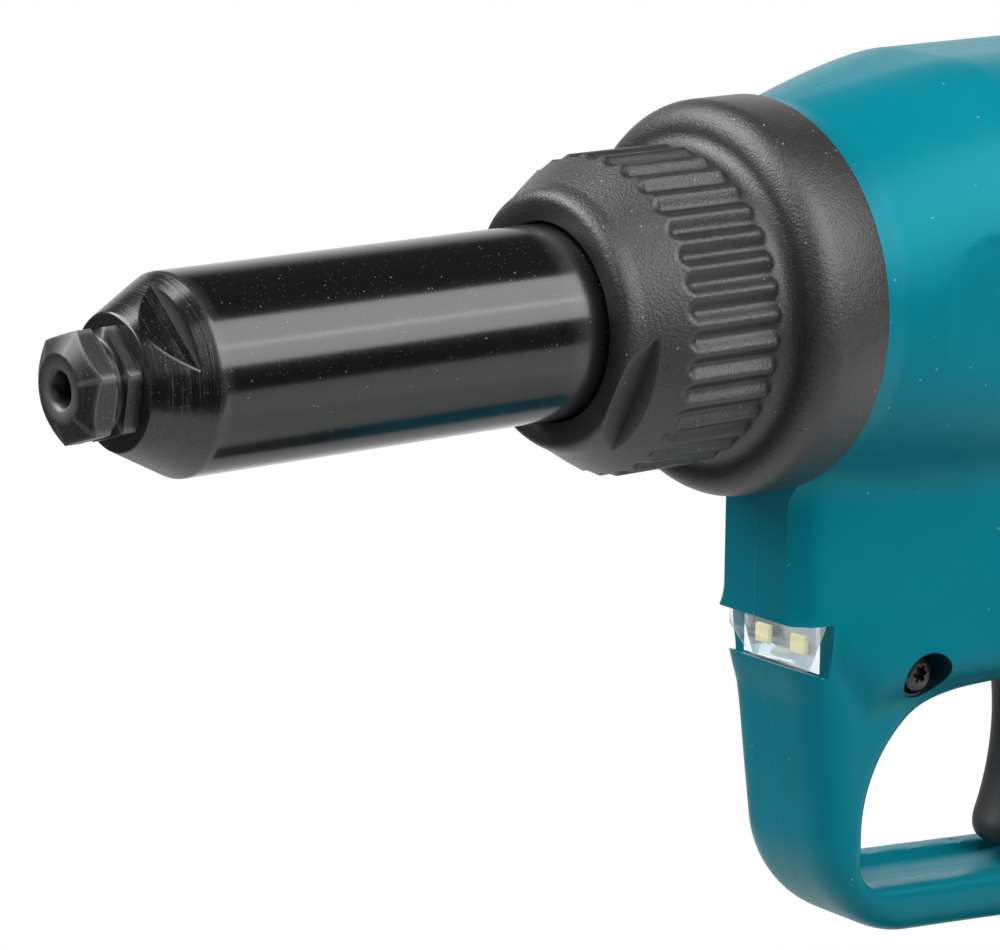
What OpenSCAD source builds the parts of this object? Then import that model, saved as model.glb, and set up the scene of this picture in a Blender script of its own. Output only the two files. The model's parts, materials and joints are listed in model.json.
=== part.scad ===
// Battery rivet tool: a cordless tool that pulls blind rivets. All lengths are millimetres.
// Inside the modules x runs forward along the nose axis from the plane where the ring nut meets the
// housing, y points left and z points up from the nose axis. place() stands the tool on its battery.

/* [Nosepiece] */
// Size of both hexagons across flats
nose_af = 15; // [14:0.5:16]
// Length in front of the head sleeve
nose_len = 9; // [8:0.5:12]
// Radius of the bore that takes the mandrel of the rivet
nose_bore_r = 2.6; // [1.5:0.1:3]
// Radius of the flat front face
nose_face_r = 5.1; // [4.6:0.1:6]
// Length of the chamfer on the front corners
nose_chamfer = 2; // [1:0.1:2.5]
// Radius of the groove between the two hexagons
nose_groove_r = 6.9; // [6.5:0.1:7.2]
// Width of the groove between the two hexagons
nose_groove_len = 2.9; // [2:0.1:3.5]
// Thickness of the hexagon behind the groove
nose_back_len = 1.7; // [1:0.1:2.5]
// Turn of the hexagons about the nose axis
nose_turn = 18; // [0:1:60]
// Radius of the thread in the head sleeve
nose_thread_r = 6; // [5.4:0.1:6.4]
// Length of the tail behind the thread, which pushes the jaws open
nose_tail_len = 5; // [3:0.5:6]

/* [Head sleeve] */
// Outer radius
head_r = 15; // [14.5:0.1:15.3]
// Length from the gear case to the front end
head_len = 109.5; // [105:0.5:125]
// Radius of the bore that the jaw case slides in
head_bore_r = 11.5; // [11.2:0.1:12.5]
// Thickness of the front wall that holds the nosepiece
head_wall = 11.5; // [9:0.5:13]
// Length of the coned front
head_cone_len = 9.5; // [7:0.5:12]
// Radius at the front end
head_tip_r = 10.8; // [9.5:0.1:12]
// Size of the wrench flats on the cone
head_flat_af = 22; // [20:0.5:24]
// Length of the wrench flats
head_flat_len = 6.5; // [4:0.5:9]
// Turn of the wrench flats about the nose axis
head_flat_turn = 51; // [0:1:90]
// Radius of the flange that the ring nut clamps
head_flange_r = 21.6; // [19:0.1:21.8]
// Thickness of that flange
head_flange_t = 4; // [3:0.5:5]

/* [Ring nut] */
// Length
ring_len = 44; // [42:0.5:48]
// Radius of the skirt beside the housing
ring_skirt_r = 32.3; // [31:0.1:32.8]
// Length of the straight skirt
ring_skirt_len = 9.5; // [8:0.5:10]
// Radius of the rounded shoulder of the skirt
ring_shoulder_r = 4.5; // [3:0.5:5]
// Radius of the gripping part between the ribs
ring_grip_r = 24.3; // [24:0.1:25.5]
// Distance from the housing to the front end of the ribs
ring_grip_end = 34; // [32:0.5:35]
// Radius of the front face
ring_face_r = 19.3; // [18:0.1:20]
// Number of ribs around the ring nut
ring_ribs = 36; // [24:1:40]
// Height of the ribs
ring_rib_h = 0.9; // [0.5:0.1:1.2]
// Radius of the round back of a rib
ring_rib_r = 1.5; // [1.2:0.1:1.8]
// Size of the wrench flats on the front cone
ring_flat_af = 38.4; // [37:0.2:40]
// Length of the wrench flats on the front cone
ring_flat_len = 7.5; // [6:0.5:9]
// Turn of the wrench flats about the nose axis
ring_flat_turn = -34; // [-90:1:90]

/* [Jaws] */
// Outer radius of the jaw case
jaw_case_r = 11; // [10.6:0.1:11.1]
// Radius of the straight bore of the jaw case
jaw_case_bore_r = 8.6; // [8.2:0.1:9]
// Half angle of the cone that squeezes the jaws
jaw_cone_angle = 8; // [6:0.5:9]
// Length of a jaw
jaw_len = 14; // [12:0.5:16]
// Radius of the toothed bore of the closed jaws
jaw_bore_r = 1.6; // [1.2:0.1:2.2]
// How far the jaws slide back to open
jaw_travel = 2.5; // [1.5:0.1:3]
// Length of the jaw spring at rest
jaw_spring_len = 15.5; // [13:0.5:17]
// Wire radius of the jaw spring
jaw_spring_wire_r = 0.8; // [0.6:0.1:0.9]
// Turns of the jaw spring
jaw_spring_turns = 5; // [4:1:6]

/* [Screw drive] */
// Stroke of the pulling screw
stroke = 30; // [20:1:30]
// Outer radius of the ball screw
screw_r = 8; // [7.5:0.1:8.2]
// Radius of the bore for spent mandrels
screw_bore_r = 3.4; // [3:0.1:3.8]
// Distance from the screw's axis to the flat that keeps it from turning
screw_flat = 6.6; // [6.3:0.1:7.2]
// Radius of the threaded stub in the coupling
screw_stub_r = 6; // [5.4:0.1:6.4]
// Outer radius of the ball nut
nut_r = 14; // [12.5:0.1:14.5]
// Length of the ball nut
nut_len = 36; // [36:1:40]
// Radius of the flange that carries the nut gear
nut_flange_r = 17.5; // [16:0.5:19]
// Teeth of the nut gear
nut_gear_teeth = 52; // [50:1:52]
// Teeth of the output pinion
pinion_teeth = 24; // [23:1:24]
// Module of the nut gear and the pinion
drive_module = 1; // [0.98:0.01:1]
// Width of the nut gear
nut_gear_t = 10; // [8:0.5:10.5]
// Outer radius of the thrust bearing
thrust_r = 16; // [14:0.5:18]
// Thickness of the thrust bearing
thrust_t = 8; // [6:0.5:9]
// Outer radius of the bearing behind the ball nut
nut_bearing_r = 20; // [17:0.5:20.5]

/* [Planetary gear] */
// Teeth of the sun pinion, a multiple of 3
sun_teeth = 12; // [12:6:12]
// Teeth of a planet gear
planet_teeth = 18; // [18:6:18]
// Module of the planetary gear
planet_module = 0.6; // [0.56:0.01:0.6]
// Width of the planet gears
planet_t = 8; // [6:0.5:8.4]
// Radius of the planet pins
planet_pin_r = 1.5; // [1.2:0.1:1.8]
// Outer radius of the ring gear
ring_gear_r = 16.8; // [16.2:0.1:17]
// Radius of the carrier's front journal
carrier_journal_r = 4; // [3.5:0.1:5]
// Outer radius of the carrier's bearing
carrier_bearing_r = 8; // [7:0.5:9]

/* [Gear case] */
// Radius of the threaded snout that carries the ring nut
snout_r = 24; // [23:0.1:24.5]
// Length of the snout in front of the housing
snout_len = 14; // [13:0.5:14.5]
// Thickness of the case in front of the thrust bearing
case_front_t = 8; // [7:0.5:9]
// Wall of the gear case
case_wall = 1.8; // [1.5:0.1:2]
// Radius of the guide bush in the snout
bush_r = 11.2; // [10:0.1:11.2]
// Thickness of the rear wall behind the nut bearing
cover_wall = 4; // [3:0.5:5]
// Distance of the case screws from the nose axis
case_screw_ring = 31; // [30.8:0.1:31.4]
// Radius of the case screws
case_screw_r = 2; // [1.5:0.1:2.2]

/* [Motor] */
// Outer radius of the stator
stator_r = 20; // [18:0.5:20.5]
// Radius of the rotor core
rotor_r = 11; // [9:0.5:11.5]
// Gap between rotor core and stator
rotor_gap = 0.5; // [0.3:0.1:0.8]
// Radius of the rotor shaft
shaft_r = 2.5; // [2:0.1:2.6]
// Outer radius of the rotor bearings
rotor_bearing_r = 8; // [7:0.5:9]
// Width of the rotor bearings
rotor_bearing_t = 5; // [4:0.5:6]
// Radius of the fan
fan_r = 16; // [13:0.5:18]
// Number of fan blades
fan_blades = 9; // [7:1:11]
// Number of stator slots
stator_slots = 6; // [6:3:9]
// Radius of the winding in a slot
winding_r = 2.6; // [2:0.1:2.8]

/* [Housing] */
// Wall of the housing halves
wall = 2.6; // [2.2:0.1:2.8]
// Radius of the barrel beside the ring nut
barrel_front_r = 33; // [32.8:0.1:34]
// Half width of the barrel
barrel_half_w = 35; // [34.5:0.5:38]
// Height of the barrel's top above the nose axis
barrel_top = 36; // [35:0.5:40]
// Radius of the barrel's upper corners
barrel_corner_r = 22; // [18:0.5:24]
// Length from the ring nut to the back of the barrel
barrel_len = 121; // [119:1:128]
// Half width of the front column
column_half_w = 12.5; // [12:0.5:14]
// Radius of the column's front corners
column_corner_r = 6; // [4:0.5:7]
// Half width of the motor bay
bay_half_w = 24; // [23.5:0.5:26]
// Depth of the motor bay below the nose axis
bay_bottom = 68; // [66:0.5:69]
// Depth of the guard's lower bar below the nose axis
guard_drop = 107.5; // [106:0.5:110]
// Radius of the guard's bar
guard_r = 5.5; // [4.5:0.5:6]
// Depth of the lamp's middle below the nose axis
lamp_drop = 58; // [57:0.5:59]
// Height of the lamp lens
lamp_h = 7; // [6:0.5:8]

/* [Grip] */
// Distance from the ring nut to the front of the grip at the trigger
grip_front = 63; // [61:0.5:65]
// Depth of the grip from front to back
grip_depth = 52; // [48:1:56]
// Half width of the grip
grip_half_w = 17; // [16:0.5:19]
// How far the grip leans back down to the foot
grip_lean = 9; // [4:1:12]
// Half width of the trigger
trigger_half_w = 9; // [7:0.5:10]
// Travel of the trigger
trigger_travel = 5.5; // [4:0.5:7]
// Radius of the trigger's hollow front
trigger_curve_r = 26; // [22:1:40]
// Radius of the trigger's front from side to side
trigger_face_r = 10; // [9.5:0.5:20]
// Radius of the trigger's lower nose
trigger_nose_r = 4; // [2:0.5:5]

/* [Battery] */
// Length
batt_len = 114; // [113:1:120]
// Width
batt_w = 75; // [73:0.5:80]
// Height of the body below the rail
batt_body_h = 54; // [50:0.5:60]
// Height of the rail that slides into the foot
batt_rail_h = 11; // [10:0.5:12]
// Wall of the battery case
batt_wall = 2; // [1.6:0.1:2.2]
// Distance from the ring nut to the front of the battery
batt_front = 26; // [22:1:34]
// Radius of a cell
cell_r = 9.1; // [8.8:0.1:9.2]
// Cells in a row
cells_per_row = 5; // [4:1:5]
// Overall height from the battery's bottom to the nose axis
axis_height = 249; // [246:1:262]
// Travel of the release button
button_travel = 4; // [2:0.5:5]

/* [Mandrel container] */
// Length behind the barrel
pot_len = 57; // [45:1:80]
// Outer radius
pot_r = 27; // [26:0.5:28]
// Wall
pot_wall = 2; // [1.5:0.1:2.4]
// Radius of the spigot that carries it
spigot_r = 24; // [22:0.5:24]
// Length of the spigot
spigot_len = 9; // [6:0.5:12]

/* [Hidden] */
$fn = 64;
round_fn = 24;

// Clearances
over = 1;
run_gap = 0.1;
free_gap = 0.3;
seat_gap = 0.2;

// Colours
teal = [0.0, 0.43, 0.50];
black_steel = [0.07, 0.07, 0.075];
dark_plastic = [0.13, 0.13, 0.14];
steel = [0.66, 0.67, 0.69];
brass = [0.78, 0.62, 0.32];
aluminium = [0.74, 0.75, 0.76];
copper = [0.72, 0.42, 0.22];
board_green = [0.10, 0.32, 0.18];
clear_plastic = [0.82, 0.88, 0.92];

// Gaps at the housing's front and behind the ring nut
front_gap = 1;
ring_gap = 0.3;

// Places along the nose axis, from the front to the back
head_x0 = snout_len;
head_x1 = head_x0 + head_len;
nose_x1 = head_x1 + nose_len;
nose_groove_x0 = head_x1 + nose_back_len;
nose_groove_x1 = nose_groove_x0 + nose_groove_len;
nose_hex_r = nose_af / 2 / cos(30);
head_bore_x1 = head_x1 - head_wall;
nose_tail_x0 = head_bore_x1 - nose_tail_len;
nose_tail_r = nose_thread_r - 0.6;
flange_x1 = head_x0 + head_flange_t;
head_step_x = ring_len - 2;
head_step = 0.5;

jaw_x1 = nose_tail_x0 - free_gap;
jaw_x0 = jaw_x1 - jaw_len;
jaw_case_x1 = jaw_x1 + 3.5;
jaw_mouth_r = nose_tail_r + 1;
jaw_cone_front_r = jaw_mouth_r;
jaw_cone_x1 = jaw_x1 + 0.5;
jaw_cone_x0 = jaw_cone_x1 - (jaw_case_bore_r - jaw_cone_front_r) / tan(jaw_cone_angle);
jaw_gap = 0.6;
jaw_side_gap = 0.25;
pusher_x1 = jaw_x0 - seat_gap;
pusher_head_t = 5;
pusher_stem_r = 4.6;
spring_x1 = pusher_x1 - pusher_head_t;
spring_x0 = spring_x1 - jaw_spring_len;
coupling_x1 = spring_x0;
coupling_len = 12;
coupling_flange_t = 4;
coupling_flange_r = jaw_case_r - 0.5;
coupling_x0 = coupling_x1 - coupling_len;
jaw_case_x0 = coupling_x0 + coupling_flange_t;
coupling_neck_r = pusher_stem_r + 0.4;
coupling_neck_t = 2;
stub_x1 = coupling_x1 - coupling_neck_t;
pusher_x0 = coupling_x1 + 0.5;

thrust_x1 = -case_front_t;
nut_x1 = thrust_x1 - thrust_t;
nut_x0 = nut_x1 - nut_len;
nut_bearing_t = 8;
split_x = nut_x0 + nut_bearing_t;
nut_flange_t = 3;
nut_gear_x0 = split_x + nut_flange_t + 2;
nut_gear_x1 = nut_gear_x0 + nut_gear_t;
cover_x0 = nut_x0 - cover_wall;
screw_x0 = nut_x0 - 26;
bush_x0 = 4;
bush_x1 = head_x0 + 10;
flat_x0 = head_x0 + 1;

// Drive gears and the motor's axis
addendum = 0.8;
dedendum = 1.2;
pressure_angle = 20;
backlash = 0.12;
nut_gear_pitch_r = nut_gear_teeth * drive_module / 2;
pinion_pitch_r = pinion_teeth * drive_module / 2;
motor_drop = nut_gear_pitch_r + pinion_pitch_r;
nut_gear_tip_r = nut_gear_pitch_r + addendum * drive_module;
pinion_tip_r = pinion_pitch_r + addendum * drive_module;
sun_pitch_r = sun_teeth * planet_module / 2;
planet_pitch_r = planet_teeth * planet_module / 2;
planet_orbit_r = sun_pitch_r + planet_pitch_r;
ring_gear_teeth = sun_teeth + 2 * planet_teeth;
planet_turns = [90, 210, 330];
carrier_r = planet_orbit_r + 3.5;
carrier_t = 3;
carrier_x0 = split_x - 1;
carrier_x1 = carrier_x0 + carrier_t;
pinion_x0 = carrier_x1 + 1;
pinion_x1 = nut_gear_x1 + 1;
carrier_bearing_t = 5.5;
carrier_bearing_x0 = pinion_x1 + 0.5;
carrier_bearing_x1 = carrier_bearing_x0 + carrier_bearing_t;
lobe_front_x = carrier_bearing_x1 + 2;
ring_gear_x1 = carrier_x0 - free_gap;
planet_x1 = ring_gear_x1 - 0.2;
planet_x0 = planet_x1 - planet_t;
ring_gear_x0 = planet_x0 - 0.6;
sun_x1 = planet_x1;
sun_x0 = planet_x0;
case_r = nut_gear_tip_r + 1.2 + case_wall;
lobe_r = pinion_tip_r + 0.8 + case_wall;
cover_lobe_r = ring_gear_r + case_wall;
case_x1 = -front_gap - wall - 0.4;
front_bearing_x1 = ring_gear_x0 - 1;
front_bearing_x0 = front_bearing_x1 - rotor_bearing_t;
cover_lobe_x0 = front_bearing_x0;
ear_r = case_screw_r + 2;
ear_turns = [45, 135, 210, 330];
ear_back = 4;
ear_front = 8;
ear_x0 = split_x - ear_back;
ear_x1 = split_x + ear_front;
case_screw_head_t = 3;

// Motor, from the front to the back; the stator fills the length that the barrel leaves it
end_turn = 3;
end_turn_gap = 1;
sensor_t = 1.6;
sensor_gap = 2;
fan_t = 6;
fan_gap = 1;
bay_end_gap = 3;
bay_back_in = 2.7;
stator_x1 = cover_lobe_x0 - end_turn - end_turn_gap;
stator_x0 = end_turn + sensor_t + sensor_gap + fan_t + fan_gap + rotor_bearing_t + wall + bay_end_gap
    + bay_back_in - barrel_len;
stator_bore_r = rotor_r + rotor_gap;
winding_ring = (stator_r + stator_bore_r) / 2;
rotor_core_x1 = stator_x1 - 2;
rotor_core_x0 = stator_x0 + 2;
sensor_x1 = stator_x0 - end_turn;
fan_x1 = sensor_x1 - sensor_t - sensor_gap;
fan_x0 = fan_x1 - fan_t;
fan_hub_r = shaft_r + 3;
fan_plate_t = 1.5;
fan_blade_t = 1.2;
rear_bearing_x1 = fan_x0 - fan_gap;
rear_bearing_x0 = rear_bearing_x1 - rotor_bearing_t;

// Housing
form_end = 0.1;
barrel_swell_x = -40;
barrel_back_x = -barrel_len;
barrel_taper = 9;
bay_full_x = -50;
bay_back_x = min(rear_bearing_x0 - wall, -grip_front - grip_depth) - bay_end_gap;
bay_top = -16;
column_front = -front_gap;
guard_top_x = -6.5;
guard_low_x = -12.5;
guard_bend_x = -17.5;
guard_bend_drop = guard_drop - 5;
guard_corner_x = -27;
guard_top_r = 4.5;
guard_low_drop = guard_drop - 14;
web_drop = guard_drop - 27;
web_top = -bay_bottom + 2.6;
lamp_sill = 1.5;
arch_drop = bay_bottom - 8;
grip_top = -bay_bottom + 14;
foot_z0 = -axis_height + batt_body_h + 0.5;
foot_h = 16.5;
foot_z1 = foot_z0 + foot_h;
foot_lip_h = 11;
foot_half_w = batt_w / 2 - 1;
foot_x1 = -batt_front - 7;
foot_x0 = -batt_front - batt_len + 1;
grip_x1 = -grip_front;
grip_x0 = grip_x1 - grip_depth;
grip_corner_r = 13;
grip_knee = -guard_drop - 6;
seat_rib_t = 2.5;
pipe_r = screw_r + 2;
pipe_bore_r = screw_r + 0.5;
pipe_x1 = cover_x0;
pipe_x0 = barrel_back_x - 4;

// Trigger and switch
trigger_top = -bay_bottom - 2;
trigger_bottom = -guard_drop + guard_r + 0.9;
trigger_face_x = grip_x1 + 3.2;
trigger_hollow_drop = 13;
trigger_back_x = grip_x1 - 6.5;
switch_x1 = trigger_back_x - trigger_travel - 1;
switch_len = 22;
switch_x0 = switch_x1 - switch_len;
switch_h = 24;
switch_top = trigger_top - 4;
switch_half_w = 10;
plunger_r = 2.5;
plunger_z = switch_top - switch_h / 2;
plunger_in = 6;

// Foot, rail and battery
batt_x1 = -batt_front;
batt_x0 = batt_x1 - batt_len;
batt_z0 = -axis_height;
batt_z1 = batt_z0 + batt_body_h;
batt_corner_r = 9;
batt_edge = 4;
batt_split_z = batt_z0 + batt_body_h / 2;
rail_neck_w = 19;
rail_head_w = 23;
rail_neck_h = 4.5;
rail_gap = 0.4;
rail_x1 = foot_x1 - 4;
rail_x0 = batt_x0 + 6;
rail_z1 = batt_z1 + batt_rail_h;
channel_z1 = rail_z1 + rail_gap;
terminal_x0 = rail_x0 + 4;
terminal_x1 = terminal_x0 + 32;
terminal_half_w = 15;
terminal_z0 = batt_z1 + 3;
blade_y = 8;
blade_t = 1;
blade_slot = 1.8;
pocket_floor = terminal_z0 - 0.5;
board_t = 3.5;
batt_boss_r = 3.4;
button_t = 6;
button_block_t = button_t + 5;
board_x0 = grip_x0 - grip_lean + 2;
board_x1 = grip_x1 - 10;
board_half_w = 20;
cell_end_gap = 3;
cell_len = batt_w - 2 * (batt_wall + cell_end_gap);
cell_step = 2 * cell_r + 0.3;
cell_mid_x = (batt_x0 + batt_wall + 2 * batt_boss_r + batt_x1 - button_block_t) / 2;
cell_z0 = batt_z0 + batt_wall + 0.2;
cell_row_step = 2 * cell_r + 0.2;
batt_board_z0 = cell_z0 + 2 * cell_r + cell_row_step + 0.1;
batt_board_t = 1.6;
batt_board_back = 40;
batt_board_front = 36;
batt_board_half_w = cell_len / 2 - 6.5;
button_half_w = 14;
button_h = 12;
button_z1 = batt_z1 - 2;
button_x1 = batt_x1 - 0.4;
button_pocket_z0 = batt_split_z + 3;
button_spring_r = 2.6;
button_spring_wire_r = 0.4;
latch_half_w = 8;
latch_t = 3;
latch_h = 8;
batt_screw_r = 1.5;
batt_screw_head_r = 2.8;
batt_screw_head_t = 2;
batt_boss_in = batt_wall + batt_boss_r;
batt_boss_x = [batt_x0 + batt_boss_in, batt_x1 - batt_boss_in];
batt_boss_y = batt_w / 2 - batt_boss_in;

// Mandrel container
pot_x1 = barrel_back_x - 0.5;
pot_x0 = pot_x1 - pot_len - 2.5;
pot_bore_r = pot_r - pot_wall;
spigot_x0 = barrel_back_x - spigot_len;

// Housing screws: places [x, z, depth of the head's seat from the parting plane]
housing_screw_r = 1.7;
housing_screw_head_r = 3.2;
housing_screw_head_t = 2.6;
housing_screw_len = 20;
housing_boss_r = 4;
recess_r = 3.9;
screw_places = [
    [guard_corner_x + 3, -bay_bottom + 4, 10],
    [grip_x1 - 3, -guard_drop, 8],
    [grip_x0 + 7, -bay_bottom - 6, 10],
    [grip_x0 + 5 - grip_lean / 2, -150, 10],
    [grip_x1 - 2, foot_z1 - 1.5, 16],
    [barrel_back_x + 12, 24, 20],
    [barrel_back_x + 6, -20, 14],
    [cover_x0 - 10, 25, 20]
];

mid_x = (nose_x1 + pot_x0) / 2;

echo(spring_gap = jaw_spring_len / jaw_spring_turns - 2 * jaw_spring_wire_r);

// Shared shapes

// Stands the tool on its battery, with its length centred over the origin
module place() {
    translate([-mid_x, 0, axis_height]) children();
}

// A flat outline in y and z, drawn out along x
module along_x(x0, x1) {
    translate([x0, 0, 0]) rotate([90, 0, 90]) linear_extrude(x1 - x0) children();
}

// A round bar along x
module rod(x0, x1, r) {
    translate([x0, 0, 0]) rotate([90, 0, 90]) cylinder(h = x1 - x0, r = r);
}

// A tapered bar along x
module cone(x0, x1, r0, r1) {
    translate([x0, 0, 0]) rotate([90, 0, 90]) cylinder(h = x1 - x0, r1 = r0, r2 = r1);
}

// A round tube along x
module tube(x0, x1, r_out, r_in) {
    difference() {
        rod(x0, x1, r_out);
        rod(x0 - over, x1 + over, r_in);
    }
}

// A hexagon bar along x
module hexagon(x0, x1) {
    translate([x0, 0, 0]) rotate([90, 0, 90]) cylinder(h = x1 - x0, r = nose_hex_r, $fn = 6);
}

// A shape turned about the nose axis from points [radius, x]
module turned(points) {
    rotate([90, 0, 90]) rotate_extrude() polygon(points);
}

// A box from one corner to the other
module block(low, high) {
    translate(low) cube(high - low);
}

// Moves shapes from the nose axis to the motor's axis
module on_motor_axis() {
    translate([0, 0, -motor_drop]) children();
}

// Points of an arc about (cx, cy)
function arc(cx, cy, r, a0, a1, n = 6) =
    [for (i = [0 : n]) let (a = a0 + (a1 - a0) * i / n) [cx + r * cos(a), cy + r * sin(a)]];

// Outline of a rectangle with round corners
function round_rect(x0, x1, y0, y1, r) = concat(
    arc(x1 - r, y1 - r, r, 0, 90), arc(x0 + r, y1 - r, r, 90, 180),
    arc(x0 + r, y0 + r, r, 180, 270), arc(x1 - r, y0 + r, r, 270, 360));

// Involute function of the radius, in degrees
function involute(base_r, r) =
    r <= base_r ? 0 : let (a = acos(base_r / r)) tan(a) * 180 / PI - a;

// Outline of a spur gear with one tooth on the y axis; play is taken off the tooth's thickness
function gear_outline(teeth, mod, tip, root, play) =
    let (
        pitch_r = teeth * mod / 2,
        base_r = pitch_r * cos(pressure_angle),
        half = 90 / teeth - play / 2 / pitch_r * 180 / PI + involute(base_r, pitch_r),
        steps = 4,
        radii = [for (i = [0 : steps]) pitch_r - root * mod + (tip + root) * mod * i / steps]
    )
    [for (k = [0 : teeth - 1], s = [-1, 1], i = [0 : steps])
        let (
            r = radii[s < 0 ? i : steps - i],
            a = 360 * k / teeth + s * (half - involute(base_r, r))
        )
        [r * cos(a), r * sin(a)]];

// A spur gear along x, with a tooth pointing at the given turn
module spur_gear(x0, x1, teeth, mod, turn, tip = addendum, root = dedendum, play = backlash) {
    along_x(x0, x1) rotate(turn) polygon(gear_outline(teeth, mod, tip, root, play));
}

// A coil spring along z: one round wire on a helix from z = 0 to z = len
module coil_spring(mean_r, wire_r, len, turns) {
    rings_per_turn = 12;
    sides = 6;
    rings = turns * rings_per_turn;
    rise = len - 2 * wire_r;
    points = [for (i = [0 : rings], s = [0 : sides - 1])
        let (a = 360 * i / rings_per_turn, b = 360 * s / sides, r = mean_r + wire_r * cos(b))
        [r * cos(a), r * sin(a), wire_r + rise * i / rings + wire_r * sin(b)]];
    sides_faces = [for (i = [0 : rings - 1], s = [0 : sides - 1], half = [0, 1])
        let (t = (s + 1) % sides, lo = i * sides, hi = lo + sides)
        half == 0 ? [lo + s, hi + t, hi + s] : [lo + s, lo + t, hi + t]];
    start_faces = [for (s = [1 : sides - 2]) [0, s + 1, s]];
    end_faces = [for (s = [1 : sides - 2]) [rings * sides, rings * sides + s, rings * sides + s + 1]];
    polyhedron(points, concat(sides_faces, start_faces, end_faces));
}

// Nose and head

module nosepiece() {
    color(black_steel) place() rotate([nose_turn, 0, 0]) difference() {
        union() {
            intersection() {
                hexagon(nose_groove_x1, nose_x1);
                turned([
                    [0, nose_groove_x1], [nose_hex_r - 0.5, nose_groove_x1],
                    [nose_hex_r, nose_groove_x1 + 0.5], [nose_hex_r, nose_x1 - nose_chamfer],
                    [nose_face_r, nose_x1], [0, nose_x1]]);
            }
            rod(nose_groove_x0, nose_groove_x1, nose_groove_r);
            hexagon(head_x1, nose_groove_x0);
            rod(head_bore_x1, head_x1, nose_thread_r);
            rod(nose_tail_x0, head_bore_x1, nose_tail_r);
        }
        rod(nose_tail_x0 - over, nose_x1 + over, nose_bore_r);
        cone(nose_x1 - 0.5, nose_x1 + 0.5, nose_bore_r, nose_bore_r + 1);
    }
}

module head_sleeve() {
    flat = head_flat_af / 2;
    color(black_steel) place() difference() {
        turned([
            [nose_thread_r, head_bore_x1], [nose_thread_r, head_x1], [head_tip_r, head_x1],
            [head_r, head_x1 - head_cone_len], [head_r, head_step_x], [head_r - head_step, head_step_x],
            [head_r - head_step, flange_x1], [head_flange_r, flange_x1],
            [head_flange_r, head_x0], [head_bore_r, head_x0], [head_bore_r, head_bore_x1]]);
        for (side = [0, 180])
            rotate([head_flat_turn + side, 0, 0])
                block([head_x1 - head_flat_len, flat, -head_r], [head_x1 + over, head_r + over, head_r]);
    }
}

module ring_nut() {
    shoulder_x = ring_skirt_len + ring_shoulder_r;
    shoulder_foot_r = ring_skirt_r - ring_shoulder_r;
    fillet_r = shoulder_foot_r - ring_grip_r;
    bore_r = head_r + 0.7;
    relief_r = bore_r + 2.8;
    rib_x0 = shoulder_x + 1.2;
    rib_ring = ring_grip_r + ring_rib_h - ring_rib_r;
    color(dark_plastic) place() difference() {
        union() {
            turned(concat(
                [[snout_r + run_gap, ring_gap], [ring_skirt_r, ring_gap]],
                arc(shoulder_foot_r, ring_skirt_len, ring_shoulder_r, 0, 90),
                arc(shoulder_foot_r, shoulder_x + fillet_r, fillet_r, 270, 180),
                [[ring_grip_r, ring_grip_end], [ring_face_r + 0.3, ring_len - 0.8],
                 [ring_face_r - 0.5, ring_len], [bore_r, ring_len],
                 [bore_r, ring_len - ring_flat_len - 0.5],
                 [relief_r, ring_len - ring_flat_len - 1.5], [relief_r, flange_x1 + 4],
                 [bore_r, flange_x1 + 4], [bore_r, flange_x1 + seat_gap],
                 [head_flange_r + free_gap, flange_x1 + seat_gap],
                 [head_flange_r + free_gap, head_x0 + seat_gap],
                 [snout_r + run_gap, head_x0 + seat_gap]]));
            for (i = [0 : ring_ribs - 1])
                rotate([360 * i / ring_ribs, 0, 0]) translate([0, rib_ring, 0])
                    rod(rib_x0, ring_grip_end - 0.2, ring_rib_r);
        }
        for (side = [0, 180])
            rotate([ring_flat_turn + side, 0, 0])
                block([ring_len - ring_flat_len, ring_flat_af / 2, -ring_grip_r],
                      [ring_len + over, ring_skirt_r, ring_grip_r]);
    }
}

// Jaws and pulling screw

module jaw_case() {
    color(steel) place() turned([
        [jaw_case_bore_r, jaw_case_x0], [jaw_case_r, jaw_case_x0], [jaw_case_r, jaw_case_x1 - 2],
        [jaw_case_r - 2, jaw_case_x1], [jaw_mouth_r, jaw_case_x1], [jaw_cone_front_r, jaw_cone_x1],
        [jaw_case_bore_r, jaw_cone_x0]]);
}

// One of three jaws; number is 0, 1 or 2
module jaw(number) {
    cone_r = function(x) jaw_cone_front_r + (jaw_cone_x1 - x) * tan(jaw_cone_angle) - jaw_side_gap;
    reach = 2 * jaw_case_r;
    apex = jaw_gap / 2 / sin(60);
    color(steel) place() rotate([planet_turns[number], 0, 0]) intersection() {
        difference() {
            cone(jaw_x0, jaw_x1, min(cone_r(jaw_x0), jaw_case_bore_r - 0.6), cone_r(jaw_x1));
            rod(jaw_x0 - over, jaw_x1 + over, jaw_bore_r);
            cone(jaw_x1 - 2, jaw_x1 + 0.01, jaw_bore_r, jaw_bore_r + 1.6);
        }
        along_x(jaw_x0 - over, jaw_x1 + over)
            polygon([[apex, 0], [apex + reach * cos(60), -reach * sin(60)], [reach, -reach],
                     [reach, reach], [apex + reach * cos(60), reach * sin(60)]]);
    }
}

module jaw_1() {
    jaw(0);
}

module jaw_2() {
    jaw(1);
}

module jaw_3() {
    jaw(2);
}

module jaw_pusher() {
    color(steel) place() difference() {
        union() {
            rod(spring_x1, pusher_x1, jaw_case_bore_r - free_gap);
            rod(pusher_x0, spring_x1, pusher_stem_r);
        }
        rod(pusher_x0 - over, pusher_x1 + over, screw_bore_r);
    }
}

module jaw_spring() {
    mean_r = (pusher_stem_r + jaw_case_bore_r) / 2;
    color(steel) place() translate([spring_x0, 0, 0]) rotate([90, 0, 90])
        coil_spring(mean_r, jaw_spring_wire_r, jaw_spring_len, jaw_spring_turns);
}

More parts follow.
